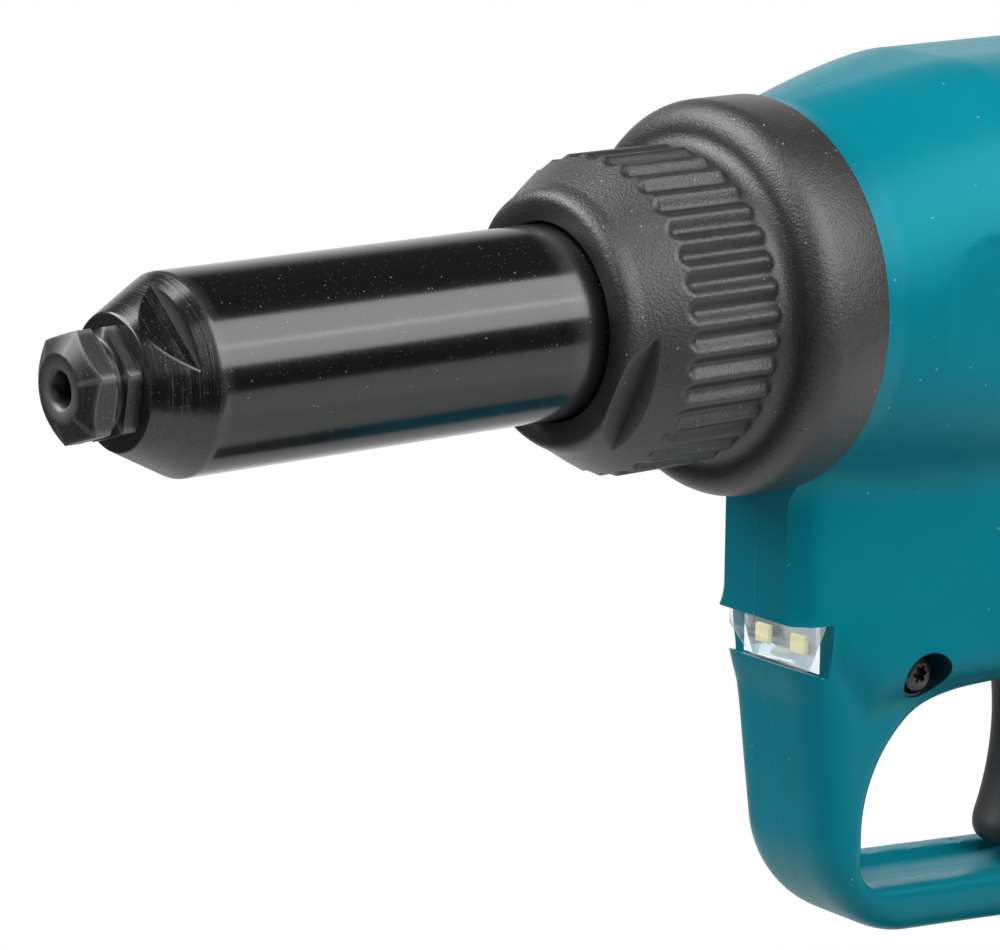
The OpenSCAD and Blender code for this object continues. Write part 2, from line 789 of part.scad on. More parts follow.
module screw_coupling() {
    color(black_steel) place() difference() {
        union() {
            rod(coupling_x0, jaw_case_x0, coupling_flange_r);
            rod(jaw_case_x0, coupling_x1, jaw_case_bore_r);
        }
        rod(coupling_x0 - over, stub_x1, screw_stub_r);
        rod(stub_x1 - over, coupling_x1 + over, coupling_neck_r);
    }
}

module ball_screw() {
    color(steel) place() difference() {
        union() {
            rod(screw_x0, coupling_x0, screw_r);
            rod(coupling_x0, stub_x1, screw_stub_r);
        }
        rod(screw_x0 - over, stub_x1 + over, screw_bore_r);
        block([flat_x0, -screw_r, screw_flat], [coupling_x0 - 1, screw_r, screw_r + over]);
    }
}

module guide_bush() {
    color(brass) place() difference() {
        rod(bush_x0, bush_x1, bush_r);
        rod(bush_x0 - over, head_x0 + 2, screw_r + run_gap);
        difference() {
            rod(head_x0, bush_x1 + over, screw_r + run_gap);
            block([head_x0 - over, -bush_r, screw_flat + run_gap], [bush_x1 + 2 * over, bush_r, bush_r]);
        }
    }
}

module ball_nut() {
    color(steel) place() difference() {
        union() {
            rod(nut_x0, nut_x1, nut_r);
            rod(nut_gear_x0 - nut_flange_t, nut_gear_x0, nut_flange_r);
        }
        rod(nut_x0 - over, nut_x1 + over, screw_r + run_gap);
    }
}

module nut_gear() {
    gap_turn = 270 + 180 / nut_gear_teeth;
    color(steel) place() difference() {
        spur_gear(nut_gear_x0, nut_gear_x1, nut_gear_teeth, drive_module, gap_turn);
        rod(nut_gear_x0 - over, nut_gear_x1 + over, nut_r);
    }
}

module thrust_bearing() {
    color(steel) place() tube(nut_x1 + 0.05, thrust_x1, thrust_r, screw_r + 1);
}

module nut_bearing() {
    color(steel) place() tube(nut_x0, split_x, nut_bearing_r, nut_r + 0.05);
}

// Gear case

// The four ears that take the case screws
module case_ears(x0, x1) {
    for (turn = ear_turns)
        rotate([turn, 0, 0]) translate([0, case_screw_ring, 0]) rod(x0, x1, ear_r);
}

// The four screw holes or shanks
module case_screw_rods(x0, x1, r) {
    for (turn = ear_turns)
        rotate([turn, 0, 0]) translate([0, case_screw_ring, 0]) rod(x0, x1, r);
}

module gear_case() {
    color(aluminium) place() difference() {
        union() {
            rod(case_x1 - over, snout_len, snout_r);
            rod(split_x - over, case_x1, case_r);
            on_motor_axis() rod(split_x - over, carrier_bearing_x0 + case_wall, lobe_r);
            on_motor_axis() rod(carrier_bearing_x0, lobe_front_x, carrier_bearing_r + case_wall);
            case_ears(split_x - over, ear_x1);
        }
        rod(split_x - 2 * over, split_x, 2 * case_r);
        rod(thrust_x1 - over, snout_len + over, bush_r);
        rod(nut_x1 - over, thrust_x1, thrust_r);
        rod(split_x - over, nut_x1, nut_flange_r + 1);
        rod(split_x - over, nut_gear_x1 + 1, nut_gear_tip_r + 1.2);
        on_motor_axis() rod(split_x - over, carrier_bearing_x0, pinion_tip_r + 0.8);
        on_motor_axis() rod(carrier_bearing_x0 - over, carrier_bearing_x1, carrier_bearing_r);
        case_screw_rods(split_x - over, ear_x1 - 2, case_screw_r);
    }
}

module gear_case_cover() {
    color(aluminium) place() difference() {
        union() {
            rod(ear_x0, split_x, case_r);
            rod(cover_x0, split_x, nut_bearing_r + 2 * case_wall);
            on_motor_axis() rod(cover_lobe_x0, split_x, cover_lobe_r);
            case_ears(ear_x0, split_x);
        }
        rod(nut_x0, split_x + over, nut_bearing_r);
        rod(cover_x0 - over, nut_x0 + over, pipe_bore_r);
        on_motor_axis() rod(ring_gear_x0, split_x + over, ring_gear_r);
        on_motor_axis() rod(front_bearing_x1 - over, ring_gear_x0 + over, sun_pitch_r + 1.2);
        on_motor_axis() rod(cover_lobe_x0 - over, front_bearing_x1, rotor_bearing_r);
        case_screw_rods(ear_x0 - over, split_x + over, case_screw_r);
    }
}

module gear_case_screws() {
    color(black_steel) place() {
        case_screw_rods(ear_x0, ear_x1 - 3, case_screw_r);
        case_screw_rods(ear_x0 - case_screw_head_t, ear_x0, case_screw_r + 1.4);
    }
}

module ring_gear() {
    tooth_turn = planet_turns[0] + 180 / ring_gear_teeth;
    color(steel) place() on_motor_axis() difference() {
        rod(ring_gear_x0, ring_gear_x1, ring_gear_r);
        spur_gear(ring_gear_x0 - over, ring_gear_x1 + over, ring_gear_teeth, planet_module, tooth_turn,
                  dedendum, addendum, -backlash);
    }
}

module planet_carrier() {
    color(steel) place() on_motor_axis() difference() {
        union() {
            rod(carrier_x0, carrier_x1, carrier_r);
            rod(carrier_x1, pinion_x0, pinion_pitch_r - 2);
            spur_gear(pinion_x0, pinion_x1, pinion_teeth, drive_module, 90);
            rod(pinion_x1, carrier_bearing_x1, carrier_journal_r);
        }
        for (turn = planet_turns)
            rotate([turn, 0, 0]) translate([0, planet_orbit_r, 0])
                rod(carrier_x0 - over, carrier_x1 + over, planet_pin_r);
    }
}

module planet_pins() {
    color(steel) place() on_motor_axis() for (turn = planet_turns)
        rotate([turn, 0, 0]) translate([0, planet_orbit_r, 0]) rod(planet_x0, carrier_x1, planet_pin_r);
}

module carrier_bearing() {
    color(steel) place() on_motor_axis()
        tube(carrier_bearing_x0, carrier_bearing_x1, carrier_bearing_r, carrier_journal_r + 0.05);
}

// One of three planet gears; number is 0, 1 or 2
module planet_gear(number) {
    turn = planet_turns[number];
    color(steel) place() on_motor_axis()
        translate([0, planet_orbit_r * cos(turn), planet_orbit_r * sin(turn)]) difference() {
            spur_gear(planet_x0, planet_x1, planet_teeth, planet_module,
                      turn + 180 + 180 / planet_teeth);
            rod(planet_x0 - over, planet_x1 + over, planet_pin_r + 0.05);
        }
}

module planet_gear_1() {
    planet_gear(0);
}

module planet_gear_2() {
    planet_gear(1);
}

module planet_gear_3() {
    planet_gear(2);
}

// Motor

module rotor_shaft() {
    color(steel) place() on_motor_axis() {
        rod(rear_bearing_x0, sun_x0, shaft_r);
        spur_gear(sun_x0, sun_x1, sun_teeth, planet_module, planet_turns[0]);
    }
}

module rotor_core() {
    color(steel) place() on_motor_axis() tube(rotor_core_x0, rotor_core_x1, rotor_r, shaft_r);
}

module motor_fan() {
    color(dark_plastic) place() on_motor_axis() difference() {
        union() {
            rod(fan_x0, fan_x1, fan_hub_r);
            rod(fan_x0, fan_x0 + fan_plate_t, fan_r);
            for (i = [0 : fan_blades - 1])
                rotate([360 * i / fan_blades, 0, 0])
                    block([fan_x0, fan_hub_r - 1, -fan_blade_t / 2],
                          [fan_x1, fan_r - 0.5, fan_blade_t / 2]);
        }
        rod(fan_x0 - over, fan_x1 + over, shaft_r);
    }
}

module front_motor_bearing() {
    color(steel) place() on_motor_axis()
        tube(front_bearing_x0, front_bearing_x1, rotor_bearing_r, shaft_r + 0.05);
}

module rear_motor_bearing() {
    color(steel) place() on_motor_axis()
        tube(rear_bearing_x0, rear_bearing_x1, rotor_bearing_r, shaft_r + 0.05);
}

// The winding in each slot of the stator
module winding_rods(x0, x1) {
    for (i = [0 : stator_slots - 1])
        rotate([360 * i / stator_slots, 0, 0]) translate([0, winding_ring, 0]) rod(x0, x1, winding_r);
}

module motor_stator() {
    color(black_steel) place() on_motor_axis() difference() {
        tube(stator_x0, stator_x1, stator_r, stator_bore_r);
        winding_rods(stator_x0 - over, stator_x1 + over);
    }
}

module motor_windings() {
    color(copper) place() on_motor_axis() winding_rods(stator_x0 - end_turn, stator_x1 + end_turn);
}

module sensor_board() {
    color(board_green) place() on_motor_axis()
        tube(sensor_x1 - sensor_t, sensor_x1, winding_ring + winding_r, fan_hub_r);
}

module motor_leads() {
    lead_r = 1;
    lead_x = switch_x0 - 4;
    color(dark_plastic) place() for (y = [-3, 0, 3])
        translate([lead_x, y, channel_z1 + board_t + 2])
            cylinder(h = -bay_bottom + 4 - channel_z1 - board_t - 2, r = lead_r);
}

// Switch and boards

module switch_body() {
    color(dark_plastic) place() difference() {
        block([switch_x0, -switch_half_w, switch_top - switch_h], [switch_x1, switch_half_w, switch_top]);
        translate([0, 0, plunger_z])
            rod(switch_x1 - plunger_in - trigger_travel - 1, switch_x1 + over, plunger_r + free_gap);
    }
}

module trigger() {
    curve_x = trigger_face_x + trigger_curve_r;
    curve_z = trigger_top - trigger_hollow_drop;
    nose_ring = trigger_curve_r + trigger_nose_r;
    nose_z = trigger_bottom + trigger_nose_r;
    a0 = 180 - asin(trigger_hollow_drop / trigger_curve_r);
    a1 = 180 + asin((curve_z - nose_z) / nose_ring);
    side_turn = asin(trigger_half_w / trigger_face_r);
    side_r = trigger_curve_r + trigger_face_r * (1 - cos(side_turn));
    color(dark_plastic) place() {
        difference() {
            translate([0, trigger_half_w, 0]) rotate([90, 0, 0]) linear_extrude(2 * trigger_half_w)
                polygon(concat(
                    arc(curve_x, curve_z, trigger_curve_r, a0, a1, 12),
                    arc(curve_x + nose_ring * cos(a1), nose_z, trigger_nose_r, a1 - 180, -90, 6),
                    [[trigger_back_x, trigger_bottom], [trigger_back_x, trigger_top]]));
            translate([curve_x, 0, curve_z]) rotate([90, 0, 0]) rotate_extrude() polygon(concat(
                arc(trigger_curve_r + trigger_face_r, 0, trigger_face_r, 180 - side_turn, 180 + side_turn, 12),
                [[side_r, -trigger_half_w - over], [0, -trigger_half_w - over],
                 [0, trigger_half_w + over], [side_r, trigger_half_w + over]]));
        }
        translate([0, 0, plunger_z]) rod(switch_x1 - plunger_in, trigger_back_x, plunger_r);
    }
}

module control_board() {
    color(board_green) place()
        block([board_x0, -board_half_w, channel_z1 + 1.5],
              [board_x1, board_half_w, channel_z1 + 1.5 + board_t]);
}

module terminal_block() {
    color(dark_plastic) place() difference() {
        block([terminal_x0, -terminal_half_w, terminal_z0], [terminal_x1, terminal_half_w, channel_z1]);
        for (y = [-blade_y, blade_y])
            block([terminal_x0 + 6, y - blade_slot / 2, terminal_z0 - over],
                  [terminal_x1 + over, y + blade_slot / 2, channel_z1 - 2]);
    }
}

module led_lens() {
    color(clear_plastic) place() translate([0, 0, -lamp_drop - lamp_h / 2]) linear_extrude(lamp_h)
        polygon(round_rect(column_front - 6, column_front - 0.6, -column_half_w + 1, column_half_w - 1, 2.5));
}

module led_board() {
    color(board_green) place()
        block([column_front - 8, -column_half_w + 4, -lamp_drop - lamp_h / 2 + 1],
              [column_front - 6, column_half_w - 4, -lamp_drop + lamp_h / 2 - 1]);
}

// Housing

// A thin upright section at x: half width, lowest and highest z, corner radius, all drawn in by inset
module upright(x, half_w, z0, z1, r, inset) {
    for (y = [r - half_w, half_w - r], z = [z0 + r, z1 - r])
        translate([x, y, z]) rotate([90, 0, 90])
            cylinder(h = form_end, r = r - inset, center = true, $fn = round_fn);
}

// A thin level section at z, from x0 to x1
module level(z, x0, x1, half_w, r, inset) {
    for (x = [x0 + r, x1 - r], y = [r - half_w, half_w - r])
        translate([x, y, z]) cylinder(h = form_end, r = r - inset, center = true, $fn = round_fn);
}

// A cross bar of the guard, with round ends
module guard_bar(x, z, r, inset) {
    for (y = [r - column_half_w, column_half_w - r])
        translate([x, y, z]) sphere(r = r - inset, $fn = 16);
}

// The outside of the housing, or its hollow when drawn in by the wall
module housing_form(inset) {
    lean_x = function(z) -grip_lean * (grip_top - z) / (grip_top - foot_z1);
    hull() {
        upright(-front_gap - inset, barrel_front_r, -barrel_front_r, barrel_front_r, barrel_front_r, inset);
        upright(barrel_swell_x, barrel_half_w, -barrel_front_r, barrel_top, barrel_corner_r, inset);
    }
    hull() {
        upright(barrel_swell_x, barrel_half_w, -barrel_front_r, barrel_top, barrel_corner_r, inset);
        upright(barrel_back_x + barrel_taper, barrel_half_w, -barrel_front_r, barrel_top,
                barrel_corner_r, inset);
    }
    hull() {
        upright(barrel_back_x + barrel_taper, barrel_half_w, -barrel_front_r, barrel_top,
                barrel_corner_r, inset);
        upright(barrel_back_x + inset, barrel_half_w - 5, 4 - barrel_front_r, barrel_top - 5,
                barrel_corner_r, inset);
    }
    hull() {
        upright(column_front - inset, column_half_w, -bay_bottom + 2, bay_top, column_corner_r, inset);
        upright(bay_full_x, bay_half_w, -bay_bottom, bay_top, 2 * column_corner_r, inset);
    }
    hull() {
        upright(bay_full_x, bay_half_w, -bay_bottom, bay_top, 2 * column_corner_r, inset);
        upright(bay_back_x + inset, bay_half_w - 3, -bay_bottom + 4, bay_top, 2 * column_corner_r, inset);
    }
    hull() {
        guard_bar(guard_top_x, -arch_drop, guard_top_r, inset);
        guard_bar(guard_low_x, -guard_low_drop, guard_top_r, inset);
    }
    hull() {
        guard_bar(guard_top_x, -arch_drop, guard_top_r, inset);
        guard_bar(guard_low_x, -web_drop, guard_top_r, inset);
        guard_bar(guard_corner_x, web_top, guard_top_r, inset);
    }
    hull() {
        guard_bar(guard_low_x, -guard_low_drop, guard_top_r, inset);
        guard_bar(guard_bend_x, -guard_bend_drop, guard_r, inset);
    }
    hull() {
        guard_bar(guard_bend_x, -guard_bend_drop, guard_r, inset);
        guard_bar(guard_corner_x, -guard_drop, guard_r, inset);
    }
    hull() {
        guard_bar(guard_corner_x, -guard_drop, guard_r, inset);
        guard_bar(grip_x1 - 10, -guard_drop - 1.5, guard_r, inset);
    }
    hull() {
        level(grip_top, grip_x0, grip_x1, grip_half_w, grip_corner_r, inset);
        level(grip_knee, grip_x0 + lean_x(grip_knee) + 3, grip_x1 + lean_x(grip_knee) + 3, grip_half_w,
              grip_corner_r, inset);
    }
    hull() {
        level(grip_knee, grip_x0 + lean_x(grip_knee) + 3, grip_x1 + lean_x(grip_knee) + 3, grip_half_w,
              grip_corner_r, inset);
        level(foot_z1 + 4, grip_x0 - grip_lean, grip_x1 - grip_lean, grip_half_w, grip_corner_r, inset);
    }
    hull() {
        level(foot_z1 + 4, grip_x0 - grip_lean, grip_x1 - grip_lean, grip_half_w, grip_corner_r, inset);
        level(foot_z0 + foot_lip_h, foot_x0, foot_x1, foot_half_w, grip_corner_r, inset);
    }
    hull() {
        level(foot_z0 + foot_lip_h, foot_x0, foot_x1, foot_half_w, grip_corner_r, inset);
        level(foot_z0 + form_end / 2, foot_x0, foot_x1, foot_half_w, grip_corner_r, inset);
    }
}

// Ribs and bosses inside the halves, before they are cut to the housing's outside
module housing_seats() {
    for (x = [stator_x0 + 4, stator_x1 - 4])
        block([x - seat_rib_t / 2, -bay_half_w, -bay_bottom],
              [x + seat_rib_t / 2, bay_half_w, -motor_drop + stator_r + 2]);
    block([rear_bearing_x0 - 1, -bay_half_w, -bay_bottom], [rear_bearing_x1 - 1, bay_half_w, bay_top]);
    for (x = [switch_x0 + 3, switch_x1 - 3])
        block([x - seat_rib_t / 2, -grip_half_w, switch_top - switch_h - 4],
              [x + seat_rib_t / 2, grip_half_w, switch_top + 4]);
    for (x = [board_x0 + 6, board_x1 - 6])
        block([x - seat_rib_t / 2, -board_half_w - 4, channel_z1],
              [x + seat_rib_t / 2, board_half_w + 4, channel_z1 + board_t + 4]);
    block([foot_x0, -foot_half_w, foot_z0], [foot_x1, foot_half_w, channel_z1 + 1.5]);
    rod(barrel_back_x, barrel_back_x + wall, pipe_r + 3);
    for (place_of = screw_places)
        translate([place_of[0], 0, place_of[1]]) rotate([90, 0, 0])
            cylinder(h = 2 * barrel_half_w, r = housing_boss_r, center = true, $fn = round_fn);
}

// Everything that is cut out of both halves
module housing_cuts() {
    rod(-front_gap - wall - over, over, snout_r + seat_gap);
    rod(barrel_back_x - spigot_len - over, barrel_back_x + wall + over, pipe_r + seat_gap);
    block([column_front - 6.3, -column_half_w - over, -lamp_drop - lamp_h / 2 - lamp_sill],
          [column_front + over, column_half_w + over, -lamp_drop + lamp_h / 2 + seat_gap]);
    block([column_front - 8.2, -column_half_w + 3.8, -lamp_drop - lamp_h / 2 + 0.8],
          [column_front - 6, column_half_w - 3.8, -lamp_drop + lamp_h / 2 - 0.8]);
    block([switch_x1, -trigger_half_w - 0.5, trigger_bottom - 1.2],
          [grip_x1 + 8, trigger_half_w + 0.5, trigger_top + 0.5]);
    block([switch_x0 - seat_gap, -switch_half_w - seat_gap, switch_top - switch_h - seat_gap],
          [switch_x1 + seat_gap, switch_half_w + seat_gap, switch_top + seat_gap]);
    block([board_x0 - seat_gap, -board_half_w - seat_gap, channel_z1 + 1.5],
          [board_x1 + seat_gap, board_half_w + seat_gap, channel_z1 + 1.5 + board_t + 0.2]);
    block([rail_x0 - 1, -rail_head_w - rail_gap, foot_z0 + rail_neck_h - rail_gap - 0.5],
          [foot_x1 + over, rail_head_w + rail_gap, channel_z1]);
    block([rail_x0 - 1, -rail_neck_w - rail_gap, foot_z0 - over],
          [foot_x1 + over, rail_neck_w + rail_gap, channel_z1]);
    on_motor_axis() rod(stator_x0 - over, stator_x1 + over, stator_r + seat_gap);
    on_motor_axis() rod(rear_bearing_x0 - 0.1, rear_bearing_x1 + over, rotor_bearing_r + seat_gap);
    on_motor_axis() rod(fan_x0 - 0.5, stator_x0, max(fan_r, winding_ring + winding_r) + 1);
    for (side = [-1, 1], i = [0 : 3])
        translate([fan_x1 - 5 + 5 * i, side * bay_half_w, -motor_drop])
            cube([2.2, 16, 18], center = true);
}

// Holes for the housing screws: shank, and the recess for the head on the left
module housing_screw_cuts() {
    for (p = screw_places)
        translate([p[0], 0, p[1]]) rotate([-90, 0, 0]) {
            translate([0, 0, p[2] - housing_screw_len])
                cylinder(h = housing_screw_len + over, r = housing_screw_r + seat_gap, $fn = 16);
            translate([0, 0, p[2]])
                cylinder(h = barrel_half_w, r = recess_r, $fn = round_fn);
        }
}

// Both halves in one: a shell with its seats, its spigot and its cuts
module housing_shell() {
    difference() {
        union() {
            difference() {
                housing_form(0);
                housing_form(wall);
            }
            intersection() {
                housing_form(wall / 2);
                housing_seats();
            }
            tube(spigot_x0, barrel_back_x + wall / 2, spigot_r, spigot_r - wall);
        }
        housing_cuts();
        housing_screw_cuts();
    }
}

// One half: side is 1 on the left and -1 on the right
module housing_half(side) {
    reach = 2 * barrel_len;
    color(teal) place() intersection() {
        housing_shell();
        translate([-barrel_len, side * barrel_half_w, -axis_height / 2])
            cube([2 * reach, 2 * barrel_half_w, 2 * reach], center = true);
    }
}

module housing_left() {
    housing_half(1);
}

module housing_right() {
    housing_half(-1);
}

module housing_screws() {
    color(black_steel) place() for (p = screw_places)
        translate([p[0], 0, p[1]]) rotate([-90, 0, 0]) difference() {
            union() {
                translate([0, 0, p[2] - housing_screw_len + 2])
                    cylinder(h = housing_screw_len - 2, r = housing_screw_r);
                translate([0, 0, p[2]]) cylinder(h = housing_screw_head_t, r = housing_screw_head_r);
            }
            translate([0, 0, p[2] + housing_screw_head_t - 1.4])
                cylinder(h = 2, r = 1.6, $fn = 6);
        }
}

// Mandrel pipe and container

module mandrel_pipe() {
    color(dark_plastic) place() tube(pipe_x0, pipe_x1, pipe_r, pipe_bore_r);
}

module mandrel_container() {
    color(clear_plastic) place() turned([
        [0, pot_x0], [pot_r - 3, pot_x0], [pot_r, pot_x0 + 3], [pot_r, pot_x1 - 6],
        [pot_r + 1.5, pot_x1 - 5], [pot_r + 1.5, pot_x1], [spigot_r + seat_gap, pot_x1],
        [spigot_r + seat_gap, spigot_x0 - seat_gap], [pot_bore_r, spigot_x0 - 2],
        [pot_bore_r, pot_x0 + pot_wall + 2], [pot_bore_r - 2, pot_x0 + pot_wall], [0, pot_x0 + pot_wall]]);
}

// Battery

// The battery's outline in x and y, drawn in by inset
module batt_outline(inset) {
    polygon(round_rect(batt_x0 + inset, batt_x1 - inset, -batt_w / 2 + inset, batt_w / 2 - inset,
                       batt_corner_r - inset));
}

// A flat slab of the battery's outline
module batt_slab(z0, z1, inset) {
    translate([0, 0, z0]) linear_extrude(z1 - z0) batt_outline(inset);
}

// The four bosses or screw holes of the battery case
module batt_posts(z0, z1, r) {
    for (x = batt_boss_x, y = [-batt_boss_y, batt_boss_y])
        translate([x, y, z0]) cylinder(h = z1 - z0, r = r);
}

module battery_case_upper() {
    color(dark_plastic) place() difference() {
        union() {
            difference() {
                batt_slab(batt_split_z, batt_z1, 0);
                batt_slab(batt_split_z - over, batt_z1 - batt_wall, batt_wall);
            }
            block([rail_x0, -rail_neck_w, batt_z1 - batt_wall], [rail_x1, rail_neck_w, rail_z1]);
            block([rail_x0, -rail_head_w, batt_z1 + rail_neck_h], [rail_x1, rail_head_w, rail_z1]);
            block([batt_x1 - button_block_t, -button_half_w - 2.5, button_pocket_z0 - 2],
                  [batt_x1 - 1, button_half_w + 2.5, batt_z1 - 1]);
            batt_posts(batt_split_z, batt_z1 - 1, batt_boss_r);
        }
        block([rail_x0 - over, -terminal_half_w - rail_gap, pocket_floor],
              [terminal_x1 + 2, terminal_half_w + rail_gap, rail_z1 + over]);
        block([batt_x1 - button_t - 3, -button_half_w - rail_gap, button_pocket_z0],
              [batt_x1 + over, button_half_w + rail_gap, batt_z1 + over]);
        batt_posts(batt_split_z - over, batt_split_z + 12, batt_screw_r);
    }
}

module battery_case_lower() {
    color(dark_plastic) place() difference() {
        union() {
            difference() {
                union() {
                    batt_slab(batt_z0 + batt_edge, batt_split_z, 0);
                    hull() {
                        batt_slab(batt_z0, batt_z0 + form_end, batt_edge);
                        batt_slab(batt_z0 + batt_edge - form_end, batt_z0 + batt_edge, 0);
                    }
                }
                batt_slab(batt_z0 + batt_wall, batt_split_z + over, batt_wall + 1);
            }
            batt_posts(batt_z0 + batt_wall / 2, batt_split_z, batt_boss_r);
        }
        batt_posts(batt_z0 - over, batt_split_z + over, batt_screw_r);
        batt_posts(batt_z0 - over, batt_z0 + batt_screw_head_t + 0.5, batt_screw_head_r + seat_gap);
    }
}

module battery_cells() {
    color([0.25, 0.45, 0.62]) place() for (row = [0, 1], i = [0 : cells_per_row - 1])
        translate([cell_mid_x + (i - (cells_per_row - 1) / 2) * cell_step, cell_len / 2,
                   cell_z0 + cell_r + row * cell_row_step])
            rotate([90, 0, 0]) cylinder(h = cell_len, r = cell_r);
}

module battery_board() {
    color(board_green) place()
        block([cell_mid_x - batt_board_back, -batt_board_half_w, batt_board_z0],
            [cell_mid_x + batt_board_front, batt_board_half_w, batt_board_z0 + batt_board_t]);
}

module battery_contacts() {
    color(brass) place() for (y = [-blade_y, blade_y])
        block([terminal_x0 + 7, y - blade_t / 2, pocket_floor], [terminal_x1 + 1, y + blade_t / 2, channel_z1 - 3]);
}

module battery_button() {
    color(dark_plastic) place() {
        block([button_x1 - button_t, -button_half_w, button_z1 - button_h], [button_x1, button_half_w, button_z1]);
        block([button_x1 - latch_t - 1, -latch_half_w, button_z1], [button_x1 - 1, latch_half_w, button_z1 + latch_h]);
    }
}

module button_spring() {
    color(steel) place() translate([button_x1 - button_t / 2, 0, button_pocket_z0])
        coil_spring(button_spring_r, button_spring_wire_r, button_z1 - button_h - button_pocket_z0, 5);
}

module battery_screws() {
    color(black_steel) place() {
        batt_posts(batt_z0 + 0.5, batt_z0 + 0.5 + batt_screw_head_t, batt_screw_head_r);
        batt_posts(batt_z0 + 0.5, batt_split_z + 11, batt_screw_r);
    }
}

nosepiece();
head_sleeve();
ring_nut();
jaw_case();
jaw_1();
jaw_2();
jaw_3();
jaw_pusher();
jaw_spring();
screw_coupling();
ball_screw();
guide_bush();
ball_nut();
nut_gear();
thrust_bearing();
nut_bearing();
gear_case();
gear_case_cover();
gear_case_screws();
ring_gear();
planet_carrier();
planet_pins();
carrier_bearing();
planet_gear_1();
planet_gear_2();
planet_gear_3();
rotor_shaft();
rotor_core();
motor_fan();
front_motor_bearing();
rear_motor_bearing();
motor_stator();
motor_windings();
sensor_board();
motor_leads();
switch_body();
trigger();
control_board();
terminal_block();
led_lens();
led_board();
housing_left();
housing_right();
housing_screws();
mandrel_pipe();
mandrel_container();
battery_case_upper();
battery_case_lower();
battery_cells();
battery_board();
battery_contacts();
battery_button();
button_spring();
battery_screws();
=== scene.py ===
import json
import math

import bpy
import numpy as np
from mathutils import Matrix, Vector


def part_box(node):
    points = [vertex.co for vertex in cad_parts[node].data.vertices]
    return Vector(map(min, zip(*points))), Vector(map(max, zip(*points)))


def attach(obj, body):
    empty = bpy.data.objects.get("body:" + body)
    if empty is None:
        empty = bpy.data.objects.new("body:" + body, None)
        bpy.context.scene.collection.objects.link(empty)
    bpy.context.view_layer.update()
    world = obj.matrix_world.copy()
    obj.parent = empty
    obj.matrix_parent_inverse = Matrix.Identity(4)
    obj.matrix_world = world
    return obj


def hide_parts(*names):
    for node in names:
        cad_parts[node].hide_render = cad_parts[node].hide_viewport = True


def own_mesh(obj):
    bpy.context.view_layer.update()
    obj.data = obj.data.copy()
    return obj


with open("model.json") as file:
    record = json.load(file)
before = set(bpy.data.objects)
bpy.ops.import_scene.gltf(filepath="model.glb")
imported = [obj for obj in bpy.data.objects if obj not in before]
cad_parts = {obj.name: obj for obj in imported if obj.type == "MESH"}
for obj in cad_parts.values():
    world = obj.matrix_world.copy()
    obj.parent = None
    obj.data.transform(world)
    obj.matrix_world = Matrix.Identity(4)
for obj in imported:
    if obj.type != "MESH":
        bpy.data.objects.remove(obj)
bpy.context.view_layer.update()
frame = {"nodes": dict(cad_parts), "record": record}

# Sizes are in millimetres in the tool's own frame: x runs forward from the plane where the ring meets
# the housing, y to the left and z up from the nose axis.
MM = 0.001
RING_GAP = 0.3


def row_box(node):
    """A node's lowest and highest corners in millimetres of the row frame."""
    return [np.array(corner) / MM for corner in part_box(node)]


ring_low, ring_high = row_box("ring_nut")
ORIGIN = np.array([ring_low[0] - RING_GAP, 0.0, (ring_low[2] + ring_high[2]) / 2])


def tool_box(node):
    """A node's lowest and highest corners in the tool's frame."""
    return [corner - ORIGIN for corner in row_box(node)]


# Shader maths


class Signal:
    """A socket of a node tree. Operators on signals and numbers add Math nodes to the tree."""

    def __init__(self, tree, socket=None):
        self.tree = tree
        self.socket = socket

    def node(self, kind, settings=None, sockets=None, output=0):
        """Adds any node: its settings first, then its sockets' values or links."""
        made = self.tree.nodes.new(kind)
        for name, value in (settings or {}).items():
            setattr(made, name, value)
        for key, value in (sockets or {}).items():
            if isinstance(value, Signal):
                self.tree.links.new(value.socket, made.inputs[key])
            else:
                made.inputs[key].default_value = value
        return Signal(self.tree, made.outputs[output] if made.outputs else None)

    def math(self, operation, first, second=0.0):
        return self.node("ShaderNodeMath", {"operation": operation}, {0: first, 1: second})

    def __add__(self, other):
        return self.math("ADD", self, other)

    __radd__ = __add__

    def __sub__(self, other):
        return self.math("SUBTRACT", self, other)

    def __rsub__(self, other):
        return self.math("SUBTRACT", other, self)

    def __mul__(self, other):
        return self.math("MULTIPLY", self, other)

    __rmul__ = __mul__

    def __pow__(self, other):
        return self.math("POWER", self, other)

    def __abs__(self):
        return self.math("ABSOLUTE", self)

    def step(self, low, high):
        """0 below low and 1 above high, with a smooth rise between; low may be the larger of the two."""
        settings = {"interpolation_type": "SMOOTHSTEP"}
        if low < high:
            return self.node("ShaderNodeMapRange", settings, {0: self, 1: low, 2: high})
        return self.node("ShaderNodeMapRange", settings, {0: self, 1: high, 2: low, 3: 1.0, 4: 0.0})

    def mix(self, first, second):
        """first where this signal is 0 and second where it is 1; both are colours."""
        sockets = {0: self, 6: first, 7: second}
        return self.node("ShaderNodeMix", {"data_type": "RGBA"}, sockets, output=2)


